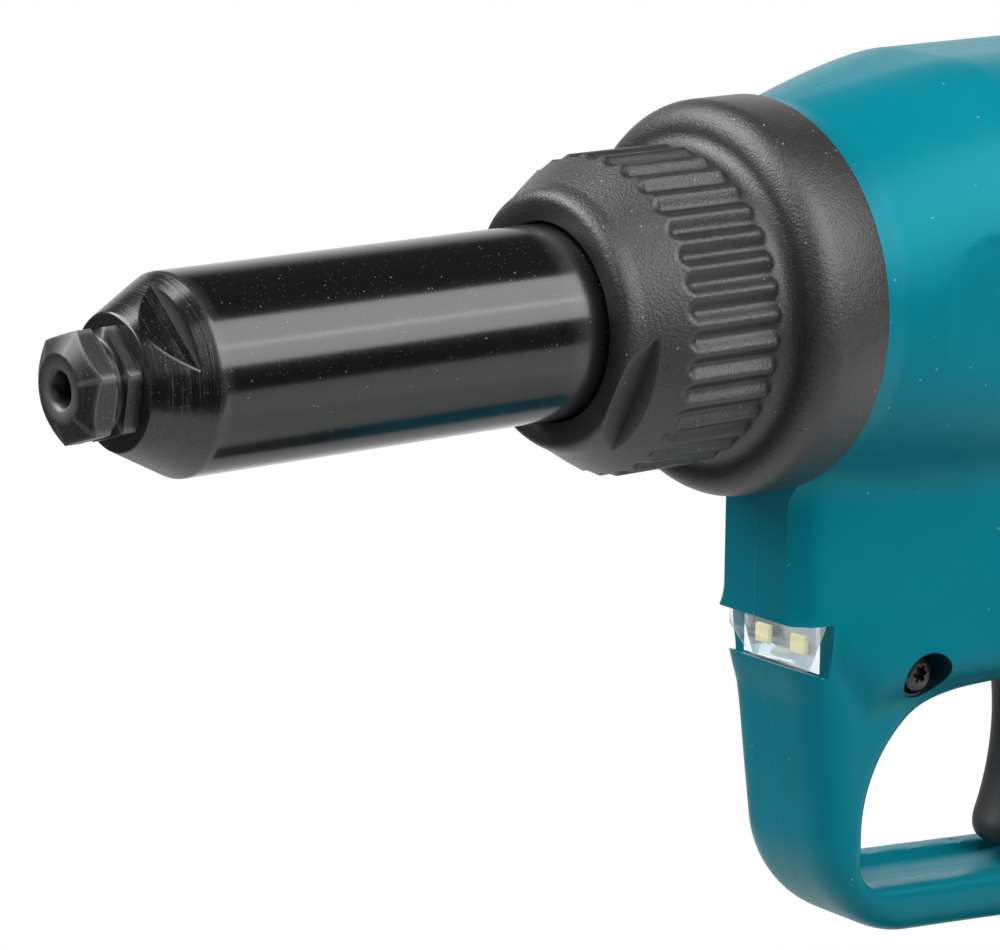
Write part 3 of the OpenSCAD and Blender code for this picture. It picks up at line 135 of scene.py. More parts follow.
class Finish:
    """A procedural material on Object coordinates, read as millimetres of the tool's frame."""

    def __init__(self, name, constants):
        self.material = bpy.data.materials.new(name)
        self.material.use_nodes = True
        tree = self.material.node_tree
        self.shader = tree.nodes["Principled BSDF"]
        for socket, value in constants.items():
            self.shader.inputs[socket].default_value = value
        self.base = Signal(tree)
        place = self.base.node("ShaderNodeTexCoord", output="Object")
        scale = {"Vector": place, "Location": tuple(-ORIGIN), "Scale": (1 / MM,) * 3}
        self.at = self.base.node("ShaderNodeMapping", {}, scale)
        self.x, self.y, self.z = (
            self.base.node("ShaderNodeSeparateXYZ", {}, {0: self.at}, axis) for axis in range(3))

    def feed(self, socket, signal):
        """Links a signal to one of the shader's sockets."""
        self.base.tree.links.new(signal.socket, self.shader.inputs[socket])

    def stretched(self, factors):
        """The place with each axis multiplied by its factor."""
        return self.base.node("ShaderNodeVectorMath", {"operation": "MULTIPLY"}, {0: self.at, 1: factors})

    def noise(self, scale, detail=2.0, rough=0.5, at=None):
        """Cloudy noise from 0 to 1 with about scale bumps in a millimetre."""
        sockets = {"Vector": at or self.at, "Scale": scale, "Detail": detail, "Roughness": rough}
        return self.base.node("ShaderNodeTexNoise", {}, sockets)

    def specks(self, scale, share):
        """1 on small scattered dots that cover about that share of the cells, 0 elsewhere."""
        sockets = {"Vector": self.at, "Scale": scale}
        cells = self.base.node("ShaderNodeTexVoronoi", {}, sockets, "Color")
        pick = self.base.node("ShaderNodeSeparateColor", {}, {0: cells}, 0)
        near = self.base.node("ShaderNodeTexVoronoi", {}, sockets, "Distance")
        return pick.step(1 - share, 1.001 - share) * near.step(0.2, 0.08)

    def attribute(self, name):
        """A piece's own attribute by name."""
        return self.base.node("ShaderNodeAttribute", {"attribute_name": name}, output="Fac")

    def bump(self, height, depth):
        """Raises the surface by height times depth millimetres, as seen by the light."""
        sockets = {"Height": height, "Strength": 1.0, "Distance": depth * MM}
        self.feed("Normal", self.base.node("ShaderNodeBump", {}, sockets))


# Finishes

TEAL = (0.0005, 0.138, 0.183, 1)
TEAL_PALE = (0.0010, 0.163, 0.214, 1)
SEAM_HIGHLIGHT_TEAL = (0.01, 0.30, 0.37, 1)
DUST = (0.55, 0.55, 0.53, 1)
RECESS_SHADE = (0.0006, 0.010, 0.013, 1)
RECESS_R = 4.2
# The housing screws: x and z of each, and how far its recess's floor lies to the left
SCREWS = [(-25.2, -65.0, 10.8), (-75, -113, 9), (-108, -74, 10), (-114.5, -150, 10),
          (-85, -166, 10), (-109, 24, 20), (-115, -20, 14), (-66, 25, 20)]


def moulded_teal():
    """Teal nylon: spark-eroded grain, faint mottling, a painted highlight as a paler line where the halves
    meet, painted shade that darkens the screw recesses, a few dust specks."""
    finish = Finish("moulded_teal", {"IOR": 1.42, "Specular Tint": (0.10, 0.92, 1.0, 1)})
    grain = finish.noise(2.2, detail=3.0, rough=0.65)
    mottle = finish.noise(0.045, detail=3.0)
    seam = abs(finish.y).step(0.16, 0.05)
    dust = finish.specks(0.8, 0.03)
    colour = (mottle.step(0.35, 0.7) * 0.5 + grain * 0.3).mix(TEAL, TEAL_PALE)
    # Painted highlight: a paler line along the parting line, for the light that its edges catch
    colour = (seam * 0.6).mix(colour, SEAM_HIGHLIGHT_TEAL)
    # Painted shade: each screw recess's walls go near black, for the shade inside the cavity
    for x, z, _ in SCREWS:
        away = (abs(finish.x - x) ** 2.0 + abs(finish.z - z) ** 2.0) ** 0.5
        recess = away.step(RECESS_R + 0.2, RECESS_R - 0.05) * finish.y.step(1.0, 3.0)
        colour = recess.mix(colour, RECESS_SHADE)
    finish.feed("Base Color", (dust * 0.35).mix(colour, DUST))
    finish.feed("Roughness", 0.24 + 0.16 * grain + 0.04 * mottle)
    finish.bump(grain + seam * 2.0, 0.05)
    return finish.material


OXIDE = (0.0035, 0.0035, 0.0038, 1)
OXIDE_RUB_AND_GLINT = (0.09, 0.09, 0.095, 1)


def black_oxide():
    """Oiled black oxide on turned steel: fine lathe rings, edges paler by the piece's own rubbing and painted
    glints, dust specks.
    """
    finish = Finish("black_oxide", {"IOR": 1.62})
    rings = finish.noise(9.0, detail=2.0, rough=0.7, at=finish.stretched((1.0, 0.02, 0.02)))
    film = finish.noise(0.25, detail=4.0, rough=0.6)
    wear_and_glint = finish.attribute("wear_and_glint")
    dust = finish.specks(1.5, 0.07)
    lint = finish.specks(3.0, 0.16)
    colour = (wear_and_glint * (0.35 + film)).mix(OXIDE, OXIDE_RUB_AND_GLINT)
    finish.feed("Base Color", (dust * 0.4 + lint * 0.3).mix(colour, DUST))
    finish.feed("Roughness", 0.10 + 0.07 * film + 0.04 * rings + 0.3 * dust + 0.12 * wear_and_glint)
    finish.bump(rings + film * 0.6, 0.0015)
    return finish.material


def turned_cone(name, base, rough):
    """The same oxide where the lathe left open rings, painted paler as the glints they catch: head cone, nose
    and screws.
    """
    finish = Finish(name, {"IOR": 1.62})
    rings = finish.noise(2.4, detail=3.0, rough=0.8, at=finish.stretched((1.0, 0.012, 0.012)))
    bloom = finish.noise(0.5, detail=5.0, rough=0.65)
    wear_and_glint = finish.attribute("wear_and_glint")
    dust = finish.specks(2.4, 0.4)
    # Painted glints: patches of the lathe rings made paler, for the light they catch
    marks = rings.step(0.5, 0.66) * bloom.step(0.3, 0.65)
    colour = (wear_and_glint * (0.5 + bloom) + marks * 0.28).mix(base, OXIDE_RUB_AND_GLINT)
    finish.feed("Base Color", (dust * 0.4).mix(colour, DUST))
    finish.feed("Roughness", rough + 0.12 * bloom + 0.16 * marks)
    finish.bump(rings, 0.02)
    return finish.material


CHARCOAL = (0.0135, 0.0128, 0.0125, 1)
CHARCOAL_PALE = (0.036, 0.0345, 0.034, 1)


def grained_charcoal():
    """The ring's glass-filled nylon: a coarse even grain, paler on the crests, with a few dust specks."""
    finish = Finish("grained_charcoal", {"IOR": 1.62})
    grain = finish.noise(2.3, detail=3.0, rough=0.65)
    fine = finish.noise(6.0, detail=2.0)
    mottle = finish.noise(0.06, detail=3.0)
    dust = finish.specks(0.9, 0.05)
    colour = (grain.step(0.35, 0.75) * 0.7 + mottle * 0.3).mix(CHARCOAL, CHARCOAL_PALE)
    finish.feed("Base Color", (dust * 0.4).mix(colour, DUST))
    finish.feed("Roughness", 0.27 + 0.14 * grain)
    finish.bump(grain + 0.3 * fine, 0.13)
    return finish.material


SATIN = (0.018, 0.018, 0.019, 1)
SATIN_PALE = (0.030, 0.030, 0.031, 1)


def satin_black():
    """Dark moulded plastic: fine grain over soft flow marks, slightly rubbed."""
    finish = Finish("satin_black", {"IOR": 1.46})
    grain = finish.noise(3.2, detail=2.0, rough=0.6)
    flow = finish.noise(0.07, detail=4.0, rough=0.55)
    finish.feed("Base Color", (flow.step(0.3, 0.75) * 0.7 + grain * 0.3).mix(SATIN, SATIN_PALE))
    finish.feed("Roughness", 0.4 + 0.16 * grain + 0.06 * flow)
    finish.bump(grain, 0.02)
    return finish.material


def ground_metal(name, base, pale, rough):
    """Bare metal with grinding marks along one way, stains and small changes of polish."""
    finish = Finish(name, {"Metallic": 1.0})
    marks = finish.noise(5.0, detail=3.0, rough=0.7, at=finish.stretched((1.0, 0.05, 0.05)))
    stain = finish.noise(0.12, detail=4.0, rough=0.6)
    finish.feed("Base Color", (stain * 0.7 + marks * 0.3).mix(base, pale))
    finish.feed("Roughness", rough + 0.14 * marks + 0.12 * stain)
    finish.bump(marks, 0.004)
    return finish.material


SOLDER_MASK = (0.010, 0.075, 0.030, 1)
TRACK = (0.025, 0.14, 0.055, 1)
TIN = (0.55, 0.54, 0.5, 1)


def circuit_board():
    """Green solder mask with paler tracks and a grid of tinned pads."""
    finish = Finish("solder_mask", {"IOR": 1.5})
    tracks = finish.base.math("SINE", finish.x * 2.1 + finish.base.math("SINE", finish.y * 0.9) * 1.6)
    pads = finish.specks(0.4, 0.35)
    colour = tracks.step(0.5, 0.7).mix(SOLDER_MASK, TRACK)
    finish.feed("Base Color", pads.mix(colour, TIN))
    finish.feed("Roughness", 0.35 + 0.1 * finish.noise(1.0))
    finish.feed("Metallic", pads)
    finish.bump(tracks.step(0.5, 0.7), 0.03)
    return finish.material


CLEAR = (0.80, 0.84, 0.86, 1)
CLEAR_IOR = 1.49


def clear_moulding():
    """Clear polycarbonate: it mirrors by Fresnel's law and lets the rest through. Flow marks and scuffs."""
    finish = Finish("smoked_clear", {"Metallic": 1.0, "Base Color": CLEAR})
    flow = finish.noise(0.12, detail=3.0)
    scuff = finish.noise(5.0, detail=2.0, rough=0.6, at=finish.stretched((0.15, 1.0, 1.0)))
    mirrored = finish.base.node("ShaderNodeFresnel", {}, {"IOR": CLEAR_IOR})
    finish.feed("Alpha", 0.06 + 0.6 * mirrored)
    finish.feed("Roughness", 0.06 + 0.05 * flow * scuff)
    finish.bump(flow + 0.1 * scuff, 0.02)
    return finish.material


WRAP = (0.04, 0.16, 0.27, 1)
WRAP_PALE = (0.07, 0.23, 0.36, 1)
WRAP_END = (0.02, 0.02, 0.022, 1)


def cell_wrap():
    """Shrink sleeve: even colour, a slight ripple and a darker end ring."""
    finish = Finish("cell_wrap", {"IOR": 1.45})
    ripple = finish.noise(0.5, detail=3.0, rough=0.5, at=finish.stretched((1.0, 0.2, 1.0)))
    ends = abs(finish.y).step(30.0, 31.5)
    colour = (ripple * 0.5).mix(WRAP, WRAP_PALE)
    finish.feed("Base Color", ends.mix(colour, WRAP_END))
    finish.feed("Roughness", 0.28 + 0.15 * ripple)
    finish.bump(ripple, 0.05)
    return finish.material


PHOSPHOR = (0.86, 0.77, 0.42, 1)
PHOSPHOR_PALE = (0.95, 0.88, 0.60, 1)
# Painted glow: the phosphor gives a faint light of its own
PHOSPHOR_PAINTED_GLOW = {"Emission Color": (0.95, 0.86, 0.55, 1), "Emission Strength": 0.35}


def lamp_phosphor():
    """A lamp chip's yellow phosphor, with a faint painted glow, though the lamp is off."""
    finish = Finish("lamp_phosphor", {"IOR": 1.45, **PHOSPHOR_PAINTED_GLOW})
    grain = finish.noise(3.0, detail=2.0)
    finish.feed("Base Color", grain.mix(PHOSPHOR, PHOSPHOR_PALE))
    finish.feed("Roughness", 0.4 + 0.1 * grain)
    return finish.material


PEARL = (0.80, 0.81, 0.82, 1)
PEARL_PALE = (0.93, 0.93, 0.92, 1)
# Painted glow: the dish shines a little by itself, for light the lens would gather on it
DISH_PAINTED_GLOW = {"Emission Color": (0.90, 0.92, 0.95, 1), "Emission Strength": 0.55}


def lamp_silver():
    """The lamp's dish: pearly white plastic, a little uneven, with a painted glow for the light the lens
    gathers on it.
    """
    finish = Finish("lamp_silver", {"IOR": 1.5, **DISH_PAINTED_GLOW})
    ripple = finish.noise(0.8, detail=2.0)
    finish.feed("Base Color", ripple.mix(PEARL, PEARL_PALE))
    finish.feed("Roughness", 0.2 + 0.2 * ripple)
    return finish.material


finishes = {
    "teal_housing": moulded_teal(),
    "black_steel": black_oxide(),
    "ribbed_plastic": grained_charcoal(),
    "dark_plastic": satin_black(),
    "steel": ground_metal("ground_steel", (0.46, 0.47, 0.49, 1), (0.62, 0.63, 0.65, 1), 0.22),
    "aluminium": ground_metal("cast_aluminium", (0.52, 0.53, 0.54, 1), (0.66, 0.67, 0.68, 1), 0.34),
    "bronze": ground_metal("turned_bronze", (0.50, 0.33, 0.13, 1), (0.66, 0.47, 0.22, 1), 0.26),
    "copper": ground_metal("enamelled_copper", (0.48, 0.18, 0.07, 1), (0.62, 0.28, 0.12, 1), 0.24),
    "circuit_board": circuit_board(),
    "clear_plastic": clear_moulding(),
    "cell_wrap": cell_wrap(),
}
for part in frame["record"]["subparts"]:
    slots = frame["nodes"][part["node"]].data.materials
    slots.clear()
    slots.append(finishes[part["material_slot"]])

# Meshes


def unit(vectors):
    """The vectors at length 1."""
    return vectors / np.maximum(np.linalg.norm(vectors, axis=-1, keepdims=True), 1e-12)


def quads(rows, columns, wrap_rows=False):
    """The faces between neighbouring points of a grid of closed rows. The last row may meet the first."""
    row, column = np.meshgrid(np.arange(rows - (not wrap_rows)), np.arange(columns), indexing="ij")
    next_row, next_column = (row + 1) % rows, (column + 1) % columns
    corners = [row * columns + column, row * columns + next_column,
               next_row * columns + next_column, next_row * columns + column]
    return np.stack(corners, -1).reshape(-1, 4)


def capped(points):
    """The faces of a stack of closed outlines: quads between them and one face on each end."""
    rows, columns = points.shape[:2]
    first = np.arange(columns)
    return [quads(rows, columns), first[None, ::-1], (rows - 1) * columns + first[None]]


def volume(points, groups):
    """Six times the enclosed volume: the sum of the triple products of the faces' fans."""
    total = 0.0
    for faces in groups:
        apex = points[faces[:, 0]]
        for k in range(1, faces.shape[1] - 1):
            sides = np.cross(points[faces[:, k]], points[faces[:, k + 1]])
            total += np.einsum("ij,ij->", apex, sides)
    return total


def make_mesh(name, points, groups, sharp=38.0):
    """A mesh from points in the tool's frame and groups of equal-sided faces, turned to face outwards."""
    points = np.asarray(points, float).reshape(-1, 3)
    if volume(points, groups) < 0:
        groups = [faces[:, ::-1] for faces in groups]
    sizes = np.concatenate([np.full(len(faces), faces.shape[1]) for faces in groups])
    mesh = bpy.data.meshes.new(name)
    mesh.vertices.add(len(points))
    mesh.vertices.foreach_set("co", ((points + ORIGIN) * MM).ravel())
    mesh.loops.add(int(sizes.sum()))
    mesh.loops.foreach_set("vertex_index", np.concatenate([faces.ravel() for faces in groups]))
    mesh.polygons.add(len(sizes))
    mesh.polygons.foreach_set("loop_start", np.concatenate([[0], np.cumsum(sizes)[:-1]]))
    mesh.update(calc_edges=True)
    smooth(mesh, sharp)
    return mesh


def smooth(mesh, sharp):
    """Smooth shading, with edges sharper than that many degrees kept crisp."""
    mesh.polygons.foreach_set("use_smooth", np.ones(len(mesh.polygons), bool))
    mesh.set_sharp_from_angle(angle=math.radians(sharp))


def joined(parts):
    """The points and faces of several closed [points, groups] pairs as one, each turned to face outwards."""
    points, groups, base = [], [], 0
    for part_points, part_groups in parts:
        part_points = np.asarray(part_points, float).reshape(-1, 3)
        turn = -1 if volume(part_points, part_groups) < 0 else 1
        groups += [faces[:, ::turn] + base for faces in part_groups]
        points.append(part_points)
        base += len(part_points)
    return np.concatenate(points), groups


def add_piece(name, mesh, body, slot, material=None, replaces=()):
    """A piece at the origin that rides a body and takes its finish from a slot of the record."""
    made = bpy.data.objects.new(name, mesh)
    bpy.context.scene.collection.objects.link(made)
    mesh.materials.clear()
    mesh.materials.append(material or finishes[slot])
    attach(made, body)
    if replaces:
        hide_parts(*replaces)
    return made


def set_attribute(mesh, name, values):
    """A number on each point of a mesh."""
    mesh.attributes.new(name, "FLOAT", "POINT").data.foreach_set("value", np.asarray(values, float).ravel())


def rounded(corners, setback, steps=6):
    """A closed outline whose corners are quadratic curves that start setback away from each corner."""
    corner = np.asarray(corners, float)
    back = np.broadcast_to(np.asarray(setback, float), len(corner))[:, None]
    before = corner + back * unit(np.roll(corner, 1, 0) - corner)
    after = corner + back * unit(np.roll(corner, -1, 0) - corner)
    t = np.linspace(0, 1, steps)[None, :, None]
    curve = (1 - t) ** 2 * before[:, None] + 2 * t * (1 - t) * corner[:, None] + t ** 2 * after[:, None]
    return curve.reshape(-1, 2)


def drawn_in(outline, inset):
    """A closed outline moved inwards along its normals."""
    along = unit(np.roll(outline, -1, 0) - np.roll(outline, 1, 0))
    inward = np.stack([-along[:, 1], along[:, 0]], 1)
    ring = np.roll(outline, -1, 0)
    area = np.sum(outline[:, 0] * ring[:, 1] - ring[:, 0] * outline[:, 1])
    return outline + inset * np.sign(area) * inward


def slab(outline, low, high, edge_low, edge_high, steps=6):
    """An outline carried from low to high. Near each end it is drawn in by a quarter circle of that edge
    radius e: at a height h from the end, by e - sqrt(e^2 - (e - h)^2). Returns points (u, v, w) and faces."""
    t = np.linspace(0, math.pi / 2, steps)
    levels = np.concatenate([low + edge_low * (1 - np.cos(t)), high - edge_high * (1 - np.cos(t[::-1]))])
    insets = np.concatenate([edge_low * (1 - np.sin(t)), edge_high * (1 - np.sin(t[::-1]))])
    rings = [np.column_stack([drawn_in(outline, inset), np.full(len(outline), level)])
             for level, inset in zip(levels, insets)]
    points = np.stack(rings)
    return points, capped(points)


def bar(low, high):
    """A plain box between two corners, as the sharp tool that cuts a pocket. Points and faces."""
    low, high = np.asarray(low, float), np.asarray(high, float)
    corner = np.array([[0, 0], [1, 0], [1, 1], [0, 1]])
    ends = [np.column_stack([corner, np.full(4, end)]) for end in (0, 1)]
    points = low + np.stack(ends) * (high - low)
    return points, capped(points)


def round_bar(centre, axis, radius, length, sides=40):
    """A round bar from centre along axis (0, 1 or 2): circles at both ends. Points and faces."""
    turn = np.linspace(0, 2 * math.pi, sides, endpoint=False)
    across = [a for a in range(3) if a != axis]
    points = np.zeros((2, sides, 3)) + np.asarray(centre, float)
    points[:, :, across[0]] += radius * np.cos(turn)
    points[:, :, across[1]] += radius * np.sin(turn)
    points[1, :, axis] += length
    return points, capped(points)


def turned(name, x, radius, turn, sharp):
    """A closed mesh turned about the nose axis: (x, r cos t, r sin t), with r given for each x and t."""
    points = np.stack([x[:, None] + 0 * radius, radius * np.cos(turn), radius * np.sin(turn)], -1)
    return make_mesh(name, points, [quads(len(x), len(turn), wrap_rows=True)], sharp)


def carved(mesh, *cutters, added=None):
    """The mesh with each cutter taken away, by exact solid subtraction. Pieces under added are joined on
    after the first cutter."""
    body = bpy.data.objects.new("carving", mesh)
    bpy.context.scene.collection.objects.link(body)
    steps = [(cutter, "DIFFERENCE") for cutter in cutters]
    if added:
        steps[1:1] = [(piece, "UNION") for piece in added]
    tools = []
    for cutter, operation in steps:
        tool = bpy.data.objects.new("cutter", cutter)
        bpy.context.scene.collection.objects.link(tool)
        tools.append(tool)
        cut = body.modifiers.new("cut", "BOOLEAN")
        cut.operation = operation
        cut.solver = "MANIFOLD"
        cut.object = tool
    seen = body.evaluated_get(bpy.context.evaluated_depsgraph_get())
    made = bpy.data.meshes.new_from_object(seen)
    for gone in [body, *tools]:
        bpy.data.objects.remove(gone)
    return made


def bell(distance, width):
    """A bell curve: exp(-(d / w)^2)."""
    return np.exp(-(distance / width) ** 2)


def soft_low(a, b, width):
    """The smaller of two fields, rounded over that width: the usual polynomial smooth minimum."""
    h = np.clip(0.5 + 0.5 * (b - a) / width, 0, 1)
    return b + (a - b) * h - width * h * (1 - h)


def soft_high(a, b, width):
    """The larger of two fields, rounded over that width."""
    return -soft_low(-a, -b, width)


# Nosepiece and head

NOSE_AF = 15.7
NOSE_TURN = math.radians(18.5)
NOSE_SHARPNESS = 110
NOSE_FACE_R = 5.35
NOSE_CHAMFER = 2.1
NOSE_GROOVE = (2.4, 4.1)  # its back and front edge, from the head's tip
NOSE_GROOVE_R = 6.9
NOSE_BORE_R = 2.6
NOSE_LIP = 0.5
NOSE_OXIDE = (0.013, 0.0105, 0.0094, 1)
HEAD_R = 15.4
HEAD_CONE = 9.6
HEAD_TIP_R = 10.3
HEAD_TIP_ROUND = 0.3
HEAD_FLAT = 11.0
HEAD_FLAT_LEN = 6.7
HEAD_FLAT_TURN = math.radians(51)
HEAD_BORE_R = 11.5
HEAD_GROUND_X = 42.0  # behind it the tube is thinner, inside the ring
HEAD_UNDERCUT = 0.5
HEAD_RUBBED_X = 47.5
FLANGE_LEN = 4.0
THREAD_R = 6.0
THREAD_LEN = 11.5

nose_low, nose_high = tool_box("nosepiece")
head_low, head_high = tool_box("head_sleeve")
NOSE_BACK, NOSE_TIP = nose_low[0], nose_high[0]
HEAD_BACK, HEAD_TIP = head_low[0], head_high[0]
FLANGE_R = head_high[1]
THREAD_END = HEAD_TIP - THREAD_LEN


def hexagon_radius(turn):
    """Radius of a hexagon with worn corners: half the width over the p-norm of its flats' cosines."""
    flats = turn[..., None] - NOSE_TURN - np.radians(30 + 60 * np.arange(6))
    cosines = np.maximum(np.cos(flats), 0)
    return NOSE_AF / 2 / np.sum(cosines ** NOSE_SHARPNESS, -1) ** (1 / NOSE_SHARPNESS)


def flats_radius(turn, half_width, middle):
    """Radius of two opposite flats: half their width over the cosine from their middle, up to 5 times it."""
    return half_width / np.maximum(np.abs(np.cos(turn - middle)), 0.2)


def nosepiece():
    """Outside: r(t, x) = smooth minimum of the hexagon and of a turned profile with the 30 degree chamfer,
    the groove and the rear collar. Inside: the bore with its bright countersunk lip."""
    turn = np.linspace(0, 2 * math.pi, 288, endpoint=False)
    back, front = HEAD_TIP + NOSE_GROOVE[0], HEAD_TIP + NOSE_GROOVE[1]
    flat_r = NOSE_AF / 2
    corner_r = flat_r / math.cos(math.pi / 6)
    lathe_x, lathe_r = np.transpose([
        (HEAD_TIP, corner_r - 0.4), (HEAD_TIP + 0.25, corner_r), (back - 0.25, corner_r),
        (back, corner_r - 0.3), (back + 0.01, NOSE_GROOVE_R + 0.3), (back + 0.35, NOSE_GROOVE_R),
        (front - 0.35, NOSE_GROOVE_R), (front - 0.01, NOSE_GROOVE_R + 0.3), (front, corner_r - 0.9),
        (front + 0.45, corner_r), (NOSE_TIP - NOSE_CHAMFER, corner_r), (NOSE_TIP, NOSE_FACE_R)])
    x = np.unique(np.concatenate([lathe_x, np.linspace(front + 0.45, NOSE_TIP, 60),
                                  np.linspace(HEAD_TIP, front, 12)]))
    lathe = np.interp(x, lathe_x, lathe_r)[:, None]
    hexagon = hexagon_radius(turn)[None, :]
    outside = soft_low(lathe + 0 * hexagon, hexagon + 0 * lathe, 0.1)
    outside[-1] = NOSE_FACE_R
    lip_r, thread_foot = NOSE_BORE_R + NOSE_LIP, THREAD_R - 0.6
    inner_x, inner_r = np.transpose([
        (NOSE_TIP - 0.05, NOSE_FACE_R - 0.35), (NOSE_TIP - 0.12, lip_r + 0.25),
        (NOSE_TIP - 0.3, lip_r - 0.05), (NOSE_TIP - 0.75, NOSE_BORE_R), (NOSE_TIP - 6, NOSE_BORE_R),
        (NOSE_BACK, NOSE_BORE_R), (NOSE_BACK, thread_foot), (THREAD_END, thread_foot),
        (THREAD_END, THREAD_R), (HEAD_TIP, THREAD_R)])
    radius = np.concatenate([outside, inner_r[:, None] + 0 * turn])
    mesh = turned("nosepiece_form", np.concatenate([x, inner_x]), radius, turn, 50)
    corners = np.clip((hexagon - flat_r) / (corner_r - flat_r) - 0.62, 0, 1) * 2.2
    edges = bell(lathe - hexagon, 0.35) * 0.8
    wear_and_glint = np.concatenate([np.clip(corners + edges, 0, 1), np.zeros((len(inner_x), len(turn)))])
    wear_and_glint[len(x):len(x) + 3] = [[0.15], [0.9], [1.0]]
    set_attribute(mesh, "wear_and_glint", wear_and_glint)
    finish = turned_cone("burnished_oxide", NOSE_OXIDE, 0.36)
    add_piece("nosepiece_form", mesh, "head", "black_steel", finish, ["nosepiece"])


def head_sleeve():
    """A turned sleeve r(x), with r <= flat / cos(t - t0) on the two flats milled in front of a shoulder."""
    turn = np.linspace(0, 2 * math.pi, 360, endpoint=False)
    cone_x, flat_x = HEAD_TIP - HEAD_CONE, HEAD_TIP - HEAD_FLAT_LEN
    flange_x, round_x = HEAD_BACK + FLANGE_LEN, HEAD_TIP - HEAD_TIP_ROUND
    outer_x = np.concatenate([
        [HEAD_BACK, HEAD_BACK, flange_x, flange_x], np.linspace(flange_x + 0.01, cone_x - 0.4, 60),
        np.linspace(cone_x - 0.3, flat_x - 0.02, 12), np.linspace(flat_x, round_x, 40),
        HEAD_TIP - HEAD_TIP_ROUND * (1 - np.sin(np.linspace(0.2, math.pi / 2, 5)))])
    slope = (HEAD_R - HEAD_TIP_R) / HEAD_CONE
    cone = soft_low(np.full_like(outer_x, HEAD_R), HEAD_R - slope * (outer_x - cone_x), 0.12)
    tip_round = np.clip((outer_x - round_x) / HEAD_TIP_ROUND, 0, 1)
    outer_r = cone - HEAD_TIP_ROUND * (1 - np.sqrt(1 - tip_round ** 2))
    outer_r[:4] = [HEAD_BORE_R, FLANGE_R, FLANGE_R, HEAD_R - HEAD_UNDERCUT]
    outer_r[(outer_x > flange_x) & (outer_x < HEAD_GROUND_X)] = HEAD_R - HEAD_UNDERCUT
    flat = flats_radius(turn, HEAD_FLAT, HEAD_FLAT_TURN)
    radius = outer_r[:, None] + 0 * turn
    milled = (outer_x >= flat_x)[:, None] & (flat < outer_r[:, None] + 0.5)
    radius = np.where(milled, soft_low(radius, flat + 0 * radius, 0.14), radius)
    inner_x, inner_r = np.transpose([(HEAD_TIP, THREAD_R), (THREAD_END, THREAD_R), (THREAD_END, HEAD_BORE_R)])
    rows_x = np.concatenate([outer_x, inner_x])
    radius = np.concatenate([radius, inner_r[:, None] + 0 * turn])
    mesh = turned("head_sleeve_form", rows_x, radius, turn, 40)
    # Painted highlight: the row where the flats meet their shoulder is made paler, as the bright line along
    # that edge; the bands are rubbing
    shoulder = np.isclose(outer_x, flat_x)
    chord_glint = np.zeros((len(rows_x), len(turn)))
    chord_glint[:len(outer_x)][shoulder] = flat < outer_r[shoulder][:, None]
    bands = (0.35 * bell(rows_x - cone_x, 0.5) + 0.12 * bell(rows_x - HEAD_TIP, 0.3)
             + 0.35 * bell(rows_x - HEAD_RUBBED_X, 1.6))
    set_attribute(mesh, "wear_and_glint", np.clip(1.6 * chord_glint + bands[:, None], 0, 1))
    add_piece("head_sleeve_form", mesh, "head", "black_steel", None, ["head_sleeve"])
    mesh.materials.append(turned_cone("turned_oxide", OXIDE, 0.17))
    front = rows_x > cone_x + 0.2
    both = front & np.roll(front, -1)
    mesh.polygons.foreach_set("material_index", np.repeat(both, len(turn)).astype(np.int32))


nosepiece()
head_sleeve()

# Ring nut

RING_RIBS = 36
RIB_HEIGHT = 1.3
RIB_FRONT = 35.4
RIB_MIDDLE = 25.0
RIB_BACK = 15.8
SKIRT_R = 32.1
SKIRT_LEN = 9.2
SHOULDER_R = 4.7
RIBBED_R = 24.3
RIBBED_END = 34.0
CONE_END = (40.6, 21.5)
LIP_BEND = ((42.4, 20.8), (43.65, 20.2))
LIP_R = 18.6
RING_SETBACK = 0.5
RING_BORE_R = 24.1
RING_RELIEF = 2.8
RING_FLAT = 19.3
RING_FLAT_LEN = 4.4
RING_FLAT_TURN = math.radians(-28)
TUBE_GAP = 0.3
FLANGE_GAP = 0.2


